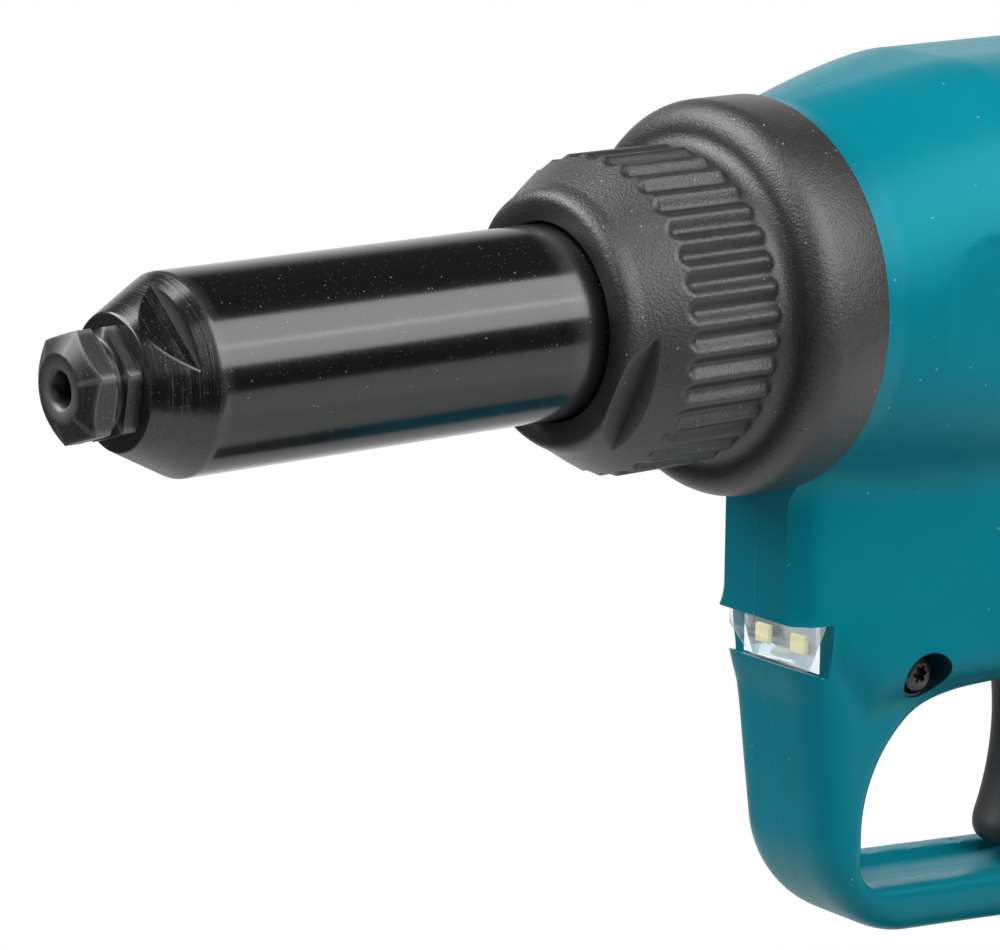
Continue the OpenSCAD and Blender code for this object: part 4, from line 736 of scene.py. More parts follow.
def ring_profile(ring_len):
    """The ring's section as rows of [x, r]. Outside: skirt, round shoulder, hollow fillet, ribbed part, cone
    and a lip on a cubic curve. Inside: the steps of the bore."""
    arc = np.linspace(0, math.pi / 2, 14)
    foot_r = SKIRT_R - SHOULDER_R
    fillet = foot_r - RIBBED_R
    shoulder_x = SKIRT_LEN + SHOULDER_R
    skirt = [(RING_GAP, SKIRT_R - 0.3), (RING_GAP + 0.05, SKIRT_R - 0.1), (RING_GAP + 0.3, SKIRT_R)]
    shoulder = np.column_stack([SKIRT_LEN + SHOULDER_R * np.sin(arc), foot_r + SHOULDER_R * np.cos(arc)])
    hollow = np.column_stack([shoulder_x + fillet * (1 - np.cos(arc)), foot_r - fillet * np.sin(arc)])
    ribbed_x = np.linspace(shoulder_x + fillet + 0.3, RIBBED_END, 46)
    ribbed = np.column_stack([ribbed_x, np.full_like(ribbed_x, RIBBED_R)])
    t = np.linspace(0, 1, 30)[:, None]
    cone = (1 - t) * [RIBBED_END, RIBBED_R + RIB_HEIGHT] + t * np.array(CONE_END)
    t = np.linspace(0, 1, 14)[:, None]
    lip = ((1 - t) ** 3 * np.array(CONE_END) + 3 * t * (1 - t) ** 2 * np.array(LIP_BEND[0])
           + 3 * t ** 2 * (1 - t) * np.array(LIP_BEND[1]) + t ** 3 * np.array([ring_len, LIP_R]))
    bore = HEAD_R + TUBE_GAP
    relief = bore + RING_RELIEF
    flange_r, flange_back = FLANGE_R + TUBE_GAP, HEAD_BACK + FLANGE_GAP
    flange_front = HEAD_BACK + FLANGE_LEN + FLANGE_GAP
    inside = [(ring_len, bore + 0.25), (ring_len - 0.25, bore), (ring_len - 7, bore), (ring_len - 8, relief),
              (HEAD_BACK + 8, relief), (HEAD_BACK + 8, bore), (flange_front, bore), (flange_front, flange_r),
              (flange_back, flange_r), (flange_back, RING_BORE_R), (RING_GAP, RING_BORE_R)]
    return np.concatenate([skirt, shoulder, hollow[1:], ribbed, cone[1:], lip[1:]]), np.array(inside)


def ring_nut():
    """The section turned about the axis, fluted and cut by two wrench flats. A rib rises as
    (1 + cos(pi s / w)) / 2 with the distance s from its middle line, and a flute sinks likewise from its own.
    Past the ribs' back ends and the flutes' front ends s is the distance to the end point, which makes those
    ends round."""
    turn = np.linspace(0, 2 * math.pi, RING_RIBS * 18, endpoint=False)
    ring_len = ring_high[0] - ORIGIN[0] - RING_SETBACK
    outside, inside = ring_profile(ring_len)
    section = np.concatenate([outside, inside])
    x, radius = section[:, :1], section[:, 1:]
    half = math.pi / RING_RIBS * RIBBED_R
    across = np.abs(np.mod(turn * RIBBED_R, 2 * half) - half)[None]
    rib = np.hypot(across, np.maximum(RIB_BACK + half - x, 0))
    flute = np.hypot(half - across, np.maximum(x - RIB_FRONT + half, 0))
    rib, flute = (0.5 + 0.5 * np.cos(math.pi * np.minimum(s / half, 1)) for s in (rib, flute))
    outer = (radius > HEAD_R + 2) & (x > SKIRT_LEN) & (np.arange(len(x))[:, None] < len(outside))
    rise = RIB_HEIGHT * np.where(x > RIB_MIDDLE, 1 - flute, rib)
    rise = np.where(x > RIBBED_END, -RIB_HEIGHT * flute, rise)
    radius = radius + np.where(outer, rise, 0)
    flat = flats_radius(turn, RING_FLAT, RING_FLAT_TURN)
    milled = outer & (x >= ring_len - RING_FLAT_LEN)
    radius = np.where(milled, soft_low(radius, flat + 0 * radius, 0.25), radius)
    mesh = turned("ring_nut_form", section[:, 0], radius, turn, 55)
    add_piece("ring_nut_form", mesh, "ring", "ribbed_plastic", None, ["ring_nut"])


ring_nut()

# Housing

WALL = 2.6
GRID = 0.85
FIELD_X = (-142.0, 4.5)
FIELD_HALF_W = 39.5
FIELD_TOP = 39.5
FRONT_SPARE = 3.0  # what the fields reach past the front plane, to be cut off there
# Barrel, with its side panels and the spigot for the container
COLLAR_R = 30.6
COLLAR_X = -5.0
BARREL_FULL_X = -35.0
BARREL_HALF_W = 35.4
BARREL_TOP = 36.4
BARREL_BOTTOM = 33.0
BARREL_CORNER = 29.8
BARREL_BACK = -121.0
BARREL_BACK_EDGE = 9.0
FLARE = 1.27
PANEL_MIDDLE = (-58.0, -4.0)
PANEL_HALF = (43.0, 14.0)
PANEL_CORNER = 7.0
PANEL_DEPTH = 2.2
PANEL_EDGE = 2.4
SPIGOT_R = 24.0
SPIGOT_ROOT = -118.0
SPIGOT_LEN = 9.0
SNOUT_R = 24.2
# Column and motor bay
COLUMN_FRONT = -0.9
COLUMN_X = -4.0
COLUMN_HALF_W = 11.5
FACET = (7.7, 3.2, 3.8)  # half the flat front, and the facet's run in x and y
BAY_BOTTOM = -68.0
BAY_BACK = -118.3
BAY_BACK_EDGE = 6.0
BAY_HALF_W = 24.0
BAY_FULL_X = -50.0
BAY_PLAN = [(BAY_BACK, 17.5), (-104.0, 22.5), (BAY_FULL_X, BAY_HALF_W), (COLUMN_X, COLUMN_HALF_W)]
BAY_TOP = -16.0
BAY_EDGE = ([BAY_FULL_X, -6], [11.0, 5.0])
BAY_RISE_X = (-16.0, -8.0)  # where its bottom rises to the lamp
FACET_EDGE = 0.9
FRONT_EDGE = 0.8
# Trigger guard: the arch, the bar below it and the outside
ARCH_X = -16.2
ARCH_TOP = -69.2
ARCH_CORNER = 22.5
ARCH_LOW_CORNER = 5.0
ARCH_EDGE = 2.4
BAR_TOP = -103.8
BAR_TOP_X = -36.0
BAR_BOTTOM = -112.2
BAR_BOTTOM_X = -27.0
BAR_FALL = 0.09
BAR_DIP = 1.5
BAR_DIP_HALF_W = 7.0
GUARD_HALF_W = 12.1
GUARD_CORNER = 18.1
GUARD_EDGE = 6.8
GUARD_TOP = -56.0
GUARD_BACK = -78.0
GUARD_FRONT = ([-120, -93.7, -82.8, -72, -68.5, -64.8, -62.3], [-11.7, -8.2, -6.7, -5.3, -4.7, -3.5, -2.8])
# Grip, foot and deck, and the fillets between the bodies
GRIP_HALF = (26.0, 17.0)
GRIP_CORNER = 16.0
GRIP_LEAN = ([-174, -113.5, -54], [-98, -92.5, -89])
GRIP_Z = (-178.0, -45.0)
PALM_RISE = 1.6
PALM_Z = -120.0
PALM_LEN = 26.0
FOOT_X = -86.0
FOOT_HALF = (53.0, 36.5)
FOOT_CORNER = 13.0
FOOT_TOP = -181.5
FOOT_EDGE = 5.0
DECK_X = -97.5
DECK_HALF = (28.5, 24.0)
DECK_CORNER = 8.0
DECK_TOP = -176.4
DECK_EDGE = 3.0
DECK_FILLET = 6.0
FOOT_FILLET = 15.0
BAY_FILLET = 6.0
GRIP_FILLET = 9.0
GUARD_FILLET = 5.0
# What is cut out: vents, lamp pocket, battery rail and trigger slot
VENTS = [-105.7, -100.7, -95.7, -90.7]
VENT_HALF_W = 1.1
VENT_Y = (20.0, 36.0)
VENT_Z = (-47.0, -29.0)
LAMP_TOP = -54.3
LAMP_FLOOR = -59.2
LAMP_FALL = 4.4
LAMP_BACK = -7.2
RAIL_X = (-134.0, -37.0)
RAIL_NECK = 19.0
RAIL_HALF_W = 23.0
RAIL_STEP = -190.5
RAIL_TOP = -184.0
RAIL_GAP = 0.4
RAIL_SLOT_X = (-135.0, -30.0)
RAIL_SLOT_FOOT = -196.0
TRIGGER_BOTTOM = -104.7
TRIGGER_SLOT_HALF_W = 9.5
foot_low = tool_box("housing_left")[0][2]
trigger_low, trigger_high = tool_box("trigger")


def corner(a, b, radius):
    """The larger of two distances, with their meeting edge rounded by a true arc of that radius."""
    past_a, past_b = a + radius, b + radius
    outside = np.hypot(np.maximum(past_a, 0), np.maximum(past_b, 0))
    return outside + np.minimum(np.maximum(past_a, past_b), 0) - radius


def round_box(a, b, half_a, half_b, radius):
    """Distance to a rectangle with round corners: those past its two sides, rounded where they meet."""
    return corner(np.abs(a) - half_a, np.abs(b) - half_b, radius)


def barrel_field(x, y, z):
    """The barrel: a circle at the collar that grows to a box with round corners, f = 1 - (1 - t)^FLARE,
    with a shallow panel on each side and the container's spigot behind."""
    t = np.clip((COLLAR_X - x) / (COLLAR_X - BARREL_FULL_X), 0, 1)
    f = 1 - (1 - t) ** FLARE
    half_w, top, bottom, radius = (COLLAR_R + (full - COLLAR_R) * f for full in (
        BARREL_HALF_W, BARREL_TOP, BARREL_BOTTOM, BARREL_CORNER))
    section = round_box(y, z - (top - bottom) / 2, half_w, (top + bottom) / 2, radius)
    panel = round_box(x - PANEL_MIDDLE[0], z - PANEL_MIDDLE[1], *PANEL_HALF, PANEL_CORNER)
    panel = np.maximum(panel, BARREL_HALF_W - PANEL_DEPTH - np.abs(y))
    section = soft_high(section, -panel, PANEL_EDGE)
    spigot_ends = np.maximum(x - SPIGOT_ROOT, BARREL_BACK - SPIGOT_LEN - x)
    spigot = np.maximum(np.hypot(y, z) - SPIGOT_R, spigot_ends)
    barrel = corner(section, BARREL_BACK - x, BARREL_BACK_EDGE)
    return np.minimum(np.maximum(barrel, x - FRONT_SPARE), spigot)


def bay_field(x, y, z):
    """The motor bay and the column: a plan that widens from the faceted column front to the bay."""
    slope = (BAY_HALF_W - COLUMN_HALF_W) / (COLUMN_X - BAY_FULL_X)
    plan_x, half_w = zip(*BAY_PLAN, (0.0, COLUMN_HALF_W - slope * COLUMN_X))
    side = (np.abs(y) - np.interp(x, plan_x, half_w)) / math.hypot(1, slope)
    flat, run_x, run_y = FACET
    facet = ((x - COLUMN_FRONT) * run_y + (np.abs(y) - flat) * run_x) / math.hypot(run_x, run_y)
    plan = soft_high(soft_high(side, facet, FACET_EDGE), x - COLUMN_FRONT - FRONT_SPARE, FRONT_EDGE)
    plan = corner(np.maximum(plan, x - FRONT_SPARE), BAY_BACK - x, BAY_BACK_EDGE)
    bottom = np.interp(x, BAY_RISE_X, [BAY_BOTTOM, LAMP_FLOOR + 1])
    return np.maximum(soft_high(plan, bottom - z, np.interp(x, *BAY_EDGE)), z - BAY_TOP)


def guard_field(x, y, z):
    """The trigger guard: in side view an outer corner less the arch, carried across with round edges."""
    front_x = np.interp(z, *GUARD_FRONT)
    outer = corner(x - front_x, BAR_BOTTOM + BAR_FALL * (x - BAR_BOTTOM_X) - z, GUARD_CORNER)
    outer = np.maximum(outer, np.maximum(z - GUARD_TOP, GUARD_BACK - x))
    arch_top = corner(x - ARCH_X, z - ARCH_TOP, ARCH_CORNER)
    dip = BAR_DIP * np.clip((BAR_DIP_HALF_W - np.abs(y)) / BAR_DIP, 0, 1)
    arch_low = corner(x - ARCH_X, BAR_TOP - dip + BAR_FALL * (x - BAR_TOP_X) - z, ARCH_LOW_CORNER)
    body = soft_high(outer, np.abs(y) - GUARD_HALF_W, GUARD_EDGE)
    return soft_high(body, -np.maximum(arch_top, arch_low), ARCH_EDGE)


def grip_field(x, y, z):
    """The grip: a round-cornered section whose middle leans back, joined by a fillet to the foot's
    flat box with its raised deck."""
    palm = PALM_RISE * bell(z - PALM_Z, PALM_LEN)
    grip = round_box(x - np.interp(z, *GRIP_LEAN) + palm, y, GRIP_HALF[0] + palm, GRIP_HALF[1], GRIP_CORNER)
    grip = np.maximum(grip, np.maximum(z - GRIP_Z[1], GRIP_Z[0] - z))
    foot = corner(round_box(x - FOOT_X, y, *FOOT_HALF, FOOT_CORNER), z - FOOT_TOP, FOOT_EDGE)
    deck = corner(round_box(x - DECK_X, y, *DECK_HALF, DECK_CORNER), z - DECK_TOP, DECK_EDGE)
    foot = np.maximum(soft_low(foot, deck, DECK_FILLET), foot_low - z)
    return soft_low(grip, foot, FOOT_FILLET)


def housing_field(x, y, z):
    """Distance to the housing's outside, in millimetres: its four bodies with fillets between them."""
    field = soft_low(barrel_field(x, y, z), bay_field(x, y, z), BAY_FILLET)
    field = soft_low(field, grip_field(x, y, z), GRIP_FILLET)
    return soft_low(field, guard_field(x, y, z), GUARD_FILLET)


def surface_of(field, low, high, step):
    """The zero set of a field as points and quads: one point in each grid cell that the surface crosses, at
    the mean of the crossings on the cell's edges, and one quad round each grid edge that it crosses."""
    axes = [np.arange(lo, hi + step, step) for lo, hi in zip(low, high)]
    x, y, z = (axis.reshape([-1 if i == k else 1 for i in range(3)]) for k, axis in enumerate(axes))
    values = np.asarray(field(x, y, z), np.float32)
    inside = values < 0
    shape = np.array(values.shape) - 1
    corners = [(i, j, k) for i in (0, 1) for j in (0, 1) for k in (0, 1)]
    count = sum(inside[i:i + shape[0], j:j + shape[1], k:k + shape[2]].astype(np.int8) for i, j, k in corners)
    cells = np.argwhere((count > 0) & (count < 8))
    at = {c: values[tuple((cells + c).T)] for c in corners}
    total, hits = np.zeros((len(cells), 3)), np.zeros((len(cells), 1))
    for start in corners:
        for axis in range(3):
            if start[axis] == 0:
                end = tuple(1 if a == axis else start[a] for a in range(3))
                crossed = ((at[start] < 0) != (at[end] < 0))[:, None]
                share = at[start] / np.where(at[start] == at[end], 1, at[start] - at[end])
                place = np.array(start) + share[:, None] * (np.array(end) - np.array(start))
                total += np.where(crossed, place, 0)
                hits += crossed
    points = np.array([axis[0] for axis in axes]) + step * (cells + total / hits)
    index = np.full(shape, -1, np.int64)
    index[tuple(cells.T)] = np.arange(len(cells))
    faces = []
    for axis in range(3):
        b, c = (axis + 1) % 3, (axis + 2) % 3
        edges = np.argwhere(inside != np.roll(inside, -1, axis))
        edges = edges[(edges[:, axis] < shape[axis]) & (edges[:, b] > 0) & (edges[:, c] > 0)
                      & (edges[:, b] < shape[b]) & (edges[:, c] < shape[c])]
        ring = []
        for back_b, back_c in ((1, 1), (0, 1), (0, 0), (1, 0)):
            cell = edges.copy()
            cell[:, b] -= back_b
            cell[:, c] -= back_c
            ring.append(index[tuple(cell.T)])
        ring = np.stack(ring, 1)
        faces.append(np.where(inside[tuple(edges.T)][:, None], ring, ring[:, ::-1]))
    return points, np.concatenate(faces)


def settled(field, points, rounds=3, probe=0.02, stride=0.4):
    """Points moved on to the zero set by Newton steps p - d n, with n from central differences."""
    for _ in range(rounds):
        slopes = []
        for axis in np.eye(3) * probe:
            ahead, behind = (points + axis).T, (points - axis).T
            slopes.append((field(*ahead) - field(*behind)) / (2 * probe))
        slope = np.stack(slopes, 1)
        length = np.maximum(np.sum(slope ** 2, 1), 0.2)
        points = points - np.clip(field(*points.T) / length, -stride, stride)[:, None] * slope
    return points


def lamp_pocket():
    """The box that the lamp stands in, open in front, with a floor that falls towards the back."""
    points, groups = bar([LAMP_BACK, -20, LAMP_FLOOR], [6, 20, LAMP_TOP])
    points[(points[:, :, 0] < 0) & (points[:, :, 2] < LAMP_FLOOR + 0.1), 2] -= LAMP_FALL
    return points, groups


def rail_slot():
    """The channel under the foot: the battery rail's section with a gap all round, carried along x."""
    neck, wide = RAIL_NECK + RAIL_GAP, RAIL_HALF_W + RAIL_GAP
    step, top = RAIL_STEP - RAIL_GAP, RAIL_TOP + RAIL_GAP
    left = [[neck, RAIL_SLOT_FOOT], [neck, step], [wide, step], [wide, top]]
    rail = np.array(left + [[-y, z] for y, z in left[::-1]])
    points = np.stack([np.column_stack([np.full(len(rail), x), rail]) for x in RAIL_SLOT_X])
    return points, capped(points)


def housing_cutters():
    """What is cut out of both halves: front plane, rail slot, trigger slot, screw recesses and vents, then
    the lamp's pocket and both bores."""
    slot = bar([trigger_low[0], -TRIGGER_SLOT_HALF_W, TRIGGER_BOTTOM - 1],
               [trigger_high[0] + 1, TRIGGER_SLOT_HALF_W, trigger_high[2] + 0.6])
    first = [bar([COLUMN_FRONT, -60, LAMP_TOP - 0.1], [20, 60, 60]), rail_slot(), slot]
    first += [round_bar((x, depth, z), 1, RECESS_R, length=40) for x, z, depth in SCREWS]
    for near, far in ((-VENT_Y[1], -VENT_Y[0]), VENT_Y):
        first += [bar([x - VENT_HALF_W, near, VENT_Z[0]], [x + VENT_HALF_W, far, VENT_Z[1]]) for x in VENTS]
    second = [lamp_pocket(), round_bar((COLUMN_FRONT - 6, 0, 0), 0, SNOUT_R, length=8, sides=96),
              round_bar((BARREL_BACK - 10, 0, 0), 0, SPIGOT_R - WALL, length=11, sides=96)]
    return [make_mesh("housing_cutter", *joined(tools)) for tools in (first, second)]


def hollow_field(x, y, z):
    """The hollow: the housing a wall deeper, less a solid boss round each screw."""
    hollow = np.maximum(housing_field(x, y, z), x - COLUMN_FRONT) + WALL
    for at_x, at_z, depth in SCREWS:
        boss = np.maximum(np.hypot(x - at_x, z - at_z) - RECESS_R - WALL, depth - WALL - y)
        hollow = np.maximum(hollow, -boss)
    return hollow


def housing():
    """The outside is the field's zero set and the hollow the same field a wall deeper. The two halves are
    parted at y = 0 and cut for what they hold."""
    low = np.array([FIELD_X[0], -FIELD_HALF_W, foot_low - 3])
    high = np.array([FIELD_X[1], FIELD_HALF_W, FIELD_TOP])
    outside, outer_faces = surface_of(housing_field, low, high, GRID)
    outside = settled(housing_field, outside)
    hollow, hollow_faces = surface_of(hollow_field, low, high, 2 * GRID)
    hollow = make_mesh("housing_hollow", hollow, [hollow_faces])
    whole = carved(make_mesh("housing_whole", outside, [outer_faces]), hollow, *housing_cutters())
    reach, seam = 300.0, 0.015
    for name, side in (("housing_left", 1), ("housing_right", -1)):
        away = make_mesh("other_half", *bar([-reach, -side * reach, -reach], [reach, side * seam, reach]))
        half = carved(whole.copy(), away)
        half.name = name + "_form"
        smooth(half, 34)
        add_piece(name + "_form", half, "housing", "teal_housing", None, [name])


housing()

# Trigger, lamp and screws

TRIGGER_ARC = 40.0
TRIGGER_MIDDLE = (-19.8, -83.0)
TRIGGER_PLAN_R = 10.0
TRIGGER_NOSE_R = 5.0
TRIGGER_HALF_W = 9.0
TRIGGER_EDGE = 1.2
TRIGGER_BACK = -69.5
PLUNGER_R = 2.5
PLUNGER_Z = -86.0


def trigger_field(x, y, z):
    """The trigger: a front hollowed by an arc and round from side to side, with a round nose below."""
    sag = TRIGGER_PLAN_R - np.sqrt(np.maximum(TRIGGER_PLAN_R ** 2 - y ** 2, 1))
    front = TRIGGER_ARC + sag - np.hypot(x - TRIGGER_MIDDLE[0], z - TRIGGER_MIDDLE[1])
    solid = corner(front, TRIGGER_BOTTOM - z, TRIGGER_NOSE_R)
    solid = corner(solid, np.abs(y) - TRIGGER_HALF_W, TRIGGER_EDGE)
    return np.maximum(np.maximum(solid, TRIGGER_BACK - x), z - trigger_high[2])


def trigger():
    """The field's zero set, and the plunger behind it."""
    low = np.array([TRIGGER_BACK - 1.5, -TRIGGER_HALF_W - 1, TRIGGER_BOTTOM - 1])
    high = np.array([trigger_high[0] + 6, TRIGGER_HALF_W + 1, trigger_high[2] + 1])
    points, faces = surface_of(trigger_field, low, high, 0.45)
    plunger = round_bar((trigger_low[0], 0, PLUNGER_Z), 0, PLUNGER_R, TRIGGER_BACK + 2 - trigger_low[0])
    mesh = make_mesh("trigger_form", *joined([(settled(trigger_field, points), [faces]), plunger]), 44)
    add_piece("trigger_form", mesh, "trigger", "dark_plastic", None, ["trigger"])


LENS_BACK = -6.98
LENS_FRONT = -1.75
LENS_TOP = -54.5
LENS_BROW = -57.2  # below it the window's front draws back
LENS_BOTTOM = -63.3
LENS_FLAT = 7.2
LENS_HALF_W = 11.1
LENS_DRAW = 0.74
LENS_TAPER = 0.48
LENS_FACET = 0.84
CHIP_Y = 4.4
CHIP_HALF_W = 1.6
CHIP_Z = (-60.6, -57.6)
DISH_HALF_W = 9.4


def lens():
    """The lamp's window: outlines like the column's front, one above another, that draw back and in
    below the brow. Behind it stand the dish and its two chips."""
    rings = []
    for z in np.concatenate([[LENS_TOP], np.linspace(LENS_TOP - 0.3, LENS_BROW, 4),
                             np.linspace(LENS_BROW - 0.4, LENS_BOTTOM + 0.2, 8), [LENS_BOTTOM]]):
        front = LENS_FRONT - LENS_DRAW * max(LENS_BROW - z, 0) - (0.25 if z in (LENS_TOP, LENS_BOTTOM) else 0)
        side_y = LENS_HALF_W - LENS_TAPER * max(LENS_TOP - 0.5 - z, 0)
        flat = min(LENS_FLAT, side_y - 0.4)
        side_x = max(LENS_BACK + 0.15, front - LENS_FACET * (side_y - flat))
        half = [[LENS_BACK, side_y], [side_x, side_y], [front, flat]]
        outline = np.array([[x, -y] for x, y in half] + half[::-1])
        outline = rounded(outline, [0.02, 0.02, 0.45, 0.45, 0.02, 0.02], 5)
        rings.append(np.column_stack([outline, np.full(len(outline), z)]))
    points = np.stack(rings)
    mesh = make_mesh("lens_form", points, capped(points), 24)
    add_piece("lens_form", mesh, "housing", "clear_plastic", None, ["led_lens"])
    chips = [bar([LENS_BACK + 0.02, y - CHIP_HALF_W, CHIP_Z[0]],
                 [LENS_BACK + 0.5, y + CHIP_HALF_W, CHIP_Z[1]]) for y in (-CHIP_Y, CHIP_Y)]
    mesh = make_mesh("lamp_chips", *joined(chips))
    add_piece("lamp_chips", mesh, "housing", "circuit_board", lamp_phosphor())
    dish = [bar([LENS_BACK - 0.2, -DISH_HALF_W, LENS_BOTTOM + 0.1],
                [LENS_BACK - 0.02, DISH_HALF_W, LENS_TOP - 0.2]),
            bar([LENS_BACK - 0.1, -DISH_HALF_W, LENS_TOP - 0.1],
                [LENS_FRONT - 1.2, DISH_HALF_W, LENS_TOP + 0.1])]
    mesh = make_mesh("lamp_dish", *joined(dish))
    add_piece("lamp_dish", mesh, "housing", "aluminium", lamp_silver())


# Height above the recess's floor, and radius: shank, a black cup that lines the recess's wall as painted
# shade, and pan head
SCREW_PROFILE = [(-20, 1.0), (-18.6, 1.7), (0, 1.7), (0, 4.1), (2.2, 4.1), (2.2, 3.7), (0.9, 3.6), (1.0, 3.2),
                 (2.5, 3.2), (3.1, 3.0), (3.45, 2.6), (3.6, 2.1)]
LOBE_R = 1.3
LOBE_RISE = 0.28


def housing_screws():
    """Each screw turned about its own axis: the profile, then a socket of six lobes, r = a + b cos 6t."""
    turn = np.linspace(0, 2 * math.pi, 72, endpoint=False)
    lobes = LOBE_R + LOBE_RISE * np.cos(6 * turn)
    rise = np.array([y for y, _ in SCREW_PROFILE] + [3.6, 3.5, 2.1, 1.9])
    socket = [lobes + 0.12, lobes, 0.96 * lobes, 0.2 * lobes]
    radius = np.stack([r + 0 * turn for _, r in SCREW_PROFILE] + socket)
    screws = []
    for x, z, depth in SCREWS:
        points = np.stack([x + radius * np.cos(turn), depth + rise[:, None] + 0 * radius,
                           z + radius * np.sin(turn)], -1)
        screws.append((points, capped(points)))
    mesh = make_mesh("housing_screws_form", *joined(screws), 30)
    finish = turned_cone("screw_oxide", OXIDE, 0.24)
    add_piece("housing_screws_form", mesh, "housing", "black_steel", finish, ["housing_screws"])


trigger()
lens()
housing_screws()

# Battery and springs

BATT_X = (-140.0, -26.0)
BATT_HALF_W = 37.5
BATT_CORNER = 11.0
BATT_SPLIT = -222.0
BATT_TOP = -195.0
BATT_BOTTOM = -249.0
BATT_WALL = 2.5
BATT_SCREWS = [(x, y) for x in (-134.6, -31.4) for y in (-32.1, 32.1)]
BATT_RECESS_R = 3.4
BATT_RECESS_DEPTH = 3.2
CONTACT_END = -96.0
CONTACT_HALF_W = 15.4
CONTACT_FLOOR = -192.5
LATCH_BLOCK = (-38.0, 17.0, -221.0)  # back, half width and floor
LATCH_POCKET = (-35.0, 14.4, -219.0)
GROOVES = 9
GROOVE_X = -112.0
GROOVE_STEP = 7.0
GROOVE_W = 2.5
GROOVE_Y = 39.0
GROOVE_REACH = 2.6
GROOVE_Z = (-213.0, -202.0)
BUTTON_X = (-32.4, -26.6)
BUTTON_HALF_W = 14.0
BUTTON_Z = (-209.0, -197.0)
LATCH_X = (-30.4, -27.4)
LATCH_HALF_W = 8.0
LATCH_TOP = -189.0
RIDGE_X = (-27.2, -26.35)
RIDGE_HALF_W = 10.0
RIDGE_Z = -206.4
RIDGE_H = 1.2
RIDGE_STEP = 2.6
WIRE_STEPS = 24
WIRE_SIDES = 10


def plate(low, high, setback, steps):
    """The outline of a rectangle with rounded corners."""
    return rounded([low, [high[0], low[1]], high, [low[0], high[1]]], setback, steps)


def battery():
    """Two shells: a rounded outline carried up with soft edges and hollowed, with the rail, the latch pocket
    and the side grooves on the upper one and four screw recesses under the lower one."""
    x0, x1 = BATT_X
    outline = plate([x0, -BATT_HALF_W], [x1, BATT_HALF_W], BATT_CORNER, 12)
    within = drawn_in(outline, BATT_WALL)
    upper = make_mesh("upper", *slab(outline, BATT_SPLIT + 0.05, BATT_TOP, 0.5, 2.0))
    hollow = make_mesh("hollow", *slab(within, BATT_SPLIT - 4, BATT_TOP - BATT_WALL, 0.1, 1.0))
    back, half_w, floor_z = LATCH_BLOCK
    added = [bar([RAIL_X[0], -RAIL_NECK, BATT_TOP - BATT_WALL + 0.5], [RAIL_X[1], RAIL_NECK, RAIL_TOP]),
             bar([RAIL_X[0], -RAIL_HALF_W, RAIL_STEP], [RAIL_X[1], RAIL_HALF_W, RAIL_TOP]),
             bar([back, -half_w, floor_z], [x1 - 1.5, half_w, BATT_TOP - 2])]
    back, half_w, floor_z = LATCH_POCKET
    pockets = [bar([RAIL_X[0] - 2, -CONTACT_HALF_W, CONTACT_FLOOR],
                   [CONTACT_END, CONTACT_HALF_W, RAIL_TOP + 1]),
               bar([back, -half_w, floor_z], [x1 + 2, half_w, BATT_TOP + 2])]
    for k in range(GROOVES):
        x = GROOVE_X + GROOVE_STEP * k
        pockets += [bar([x, y - GROOVE_REACH, GROOVE_Z[0]], [x + GROOVE_W, y + GROOVE_REACH, GROOVE_Z[1]])
                    for y in (-GROOVE_Y, GROOVE_Y)]
    upper = carved(upper, hollow, make_mesh("pockets", *joined(pockets)),
                   added=[make_mesh("added", *part) for part in added])
    lower = make_mesh("lower", *slab(outline, BATT_BOTTOM, BATT_SPLIT - 0.05, 4.0, 0.5))
    within = drawn_in(outline, BATT_WALL + 1)
    hollow = make_mesh("hollow", *slab(within, BATT_BOTTOM + BATT_WALL, BATT_SPLIT + 4, 3, 0.1))
    recesses = [round_bar((x, y, BATT_BOTTOM - 1), 2, BATT_RECESS_R, BATT_RECESS_DEPTH + 1)
                for x, y in BATT_SCREWS]
    lower = carved(lower, hollow, make_mesh("recesses", *joined(recesses)))
    for name, mesh in (("battery_case_upper", upper), ("battery_case_lower", lower)):
        mesh.name = name + "_form"
        smooth(mesh, 32)
        add_piece(name + "_form", mesh, "battery", "dark_plastic", None, [name])


def battery_button():
    """The push button: a rounded plate with three finger ridges, and the latch above it."""
    face = plate([-BUTTON_HALF_W, BUTTON_Z[0]], [BUTTON_HALF_W, BUTTON_Z[1]], 2.2, 6)
    slabs = [slab(face, *BUTTON_X, 0.4, 1.0)]
    for k in range(3):
        low = RIDGE_Z + RIDGE_STEP * k
        ridge = plate([-RIDGE_HALF_W, low], [RIDGE_HALF_W, low + RIDGE_H], 0.5, 5)
        slabs.append(slab(ridge, *RIDGE_X, 0.1, 0.3))
    parts = [(points[..., [2, 0, 1]], groups) for points, groups in slabs]
    parts.append(bar([LATCH_X[0], -LATCH_HALF_W, BUTTON_Z[1] - 0.5], [LATCH_X[1], LATCH_HALF_W, LATCH_TOP]))
    mesh = make_mesh("battery_button_form", *joined(parts), 34)
    finish = finishes["ribbed_plastic"]
    add_piece("battery_button_form", mesh, "button", "dark_plastic", finish, ["battery_button"])


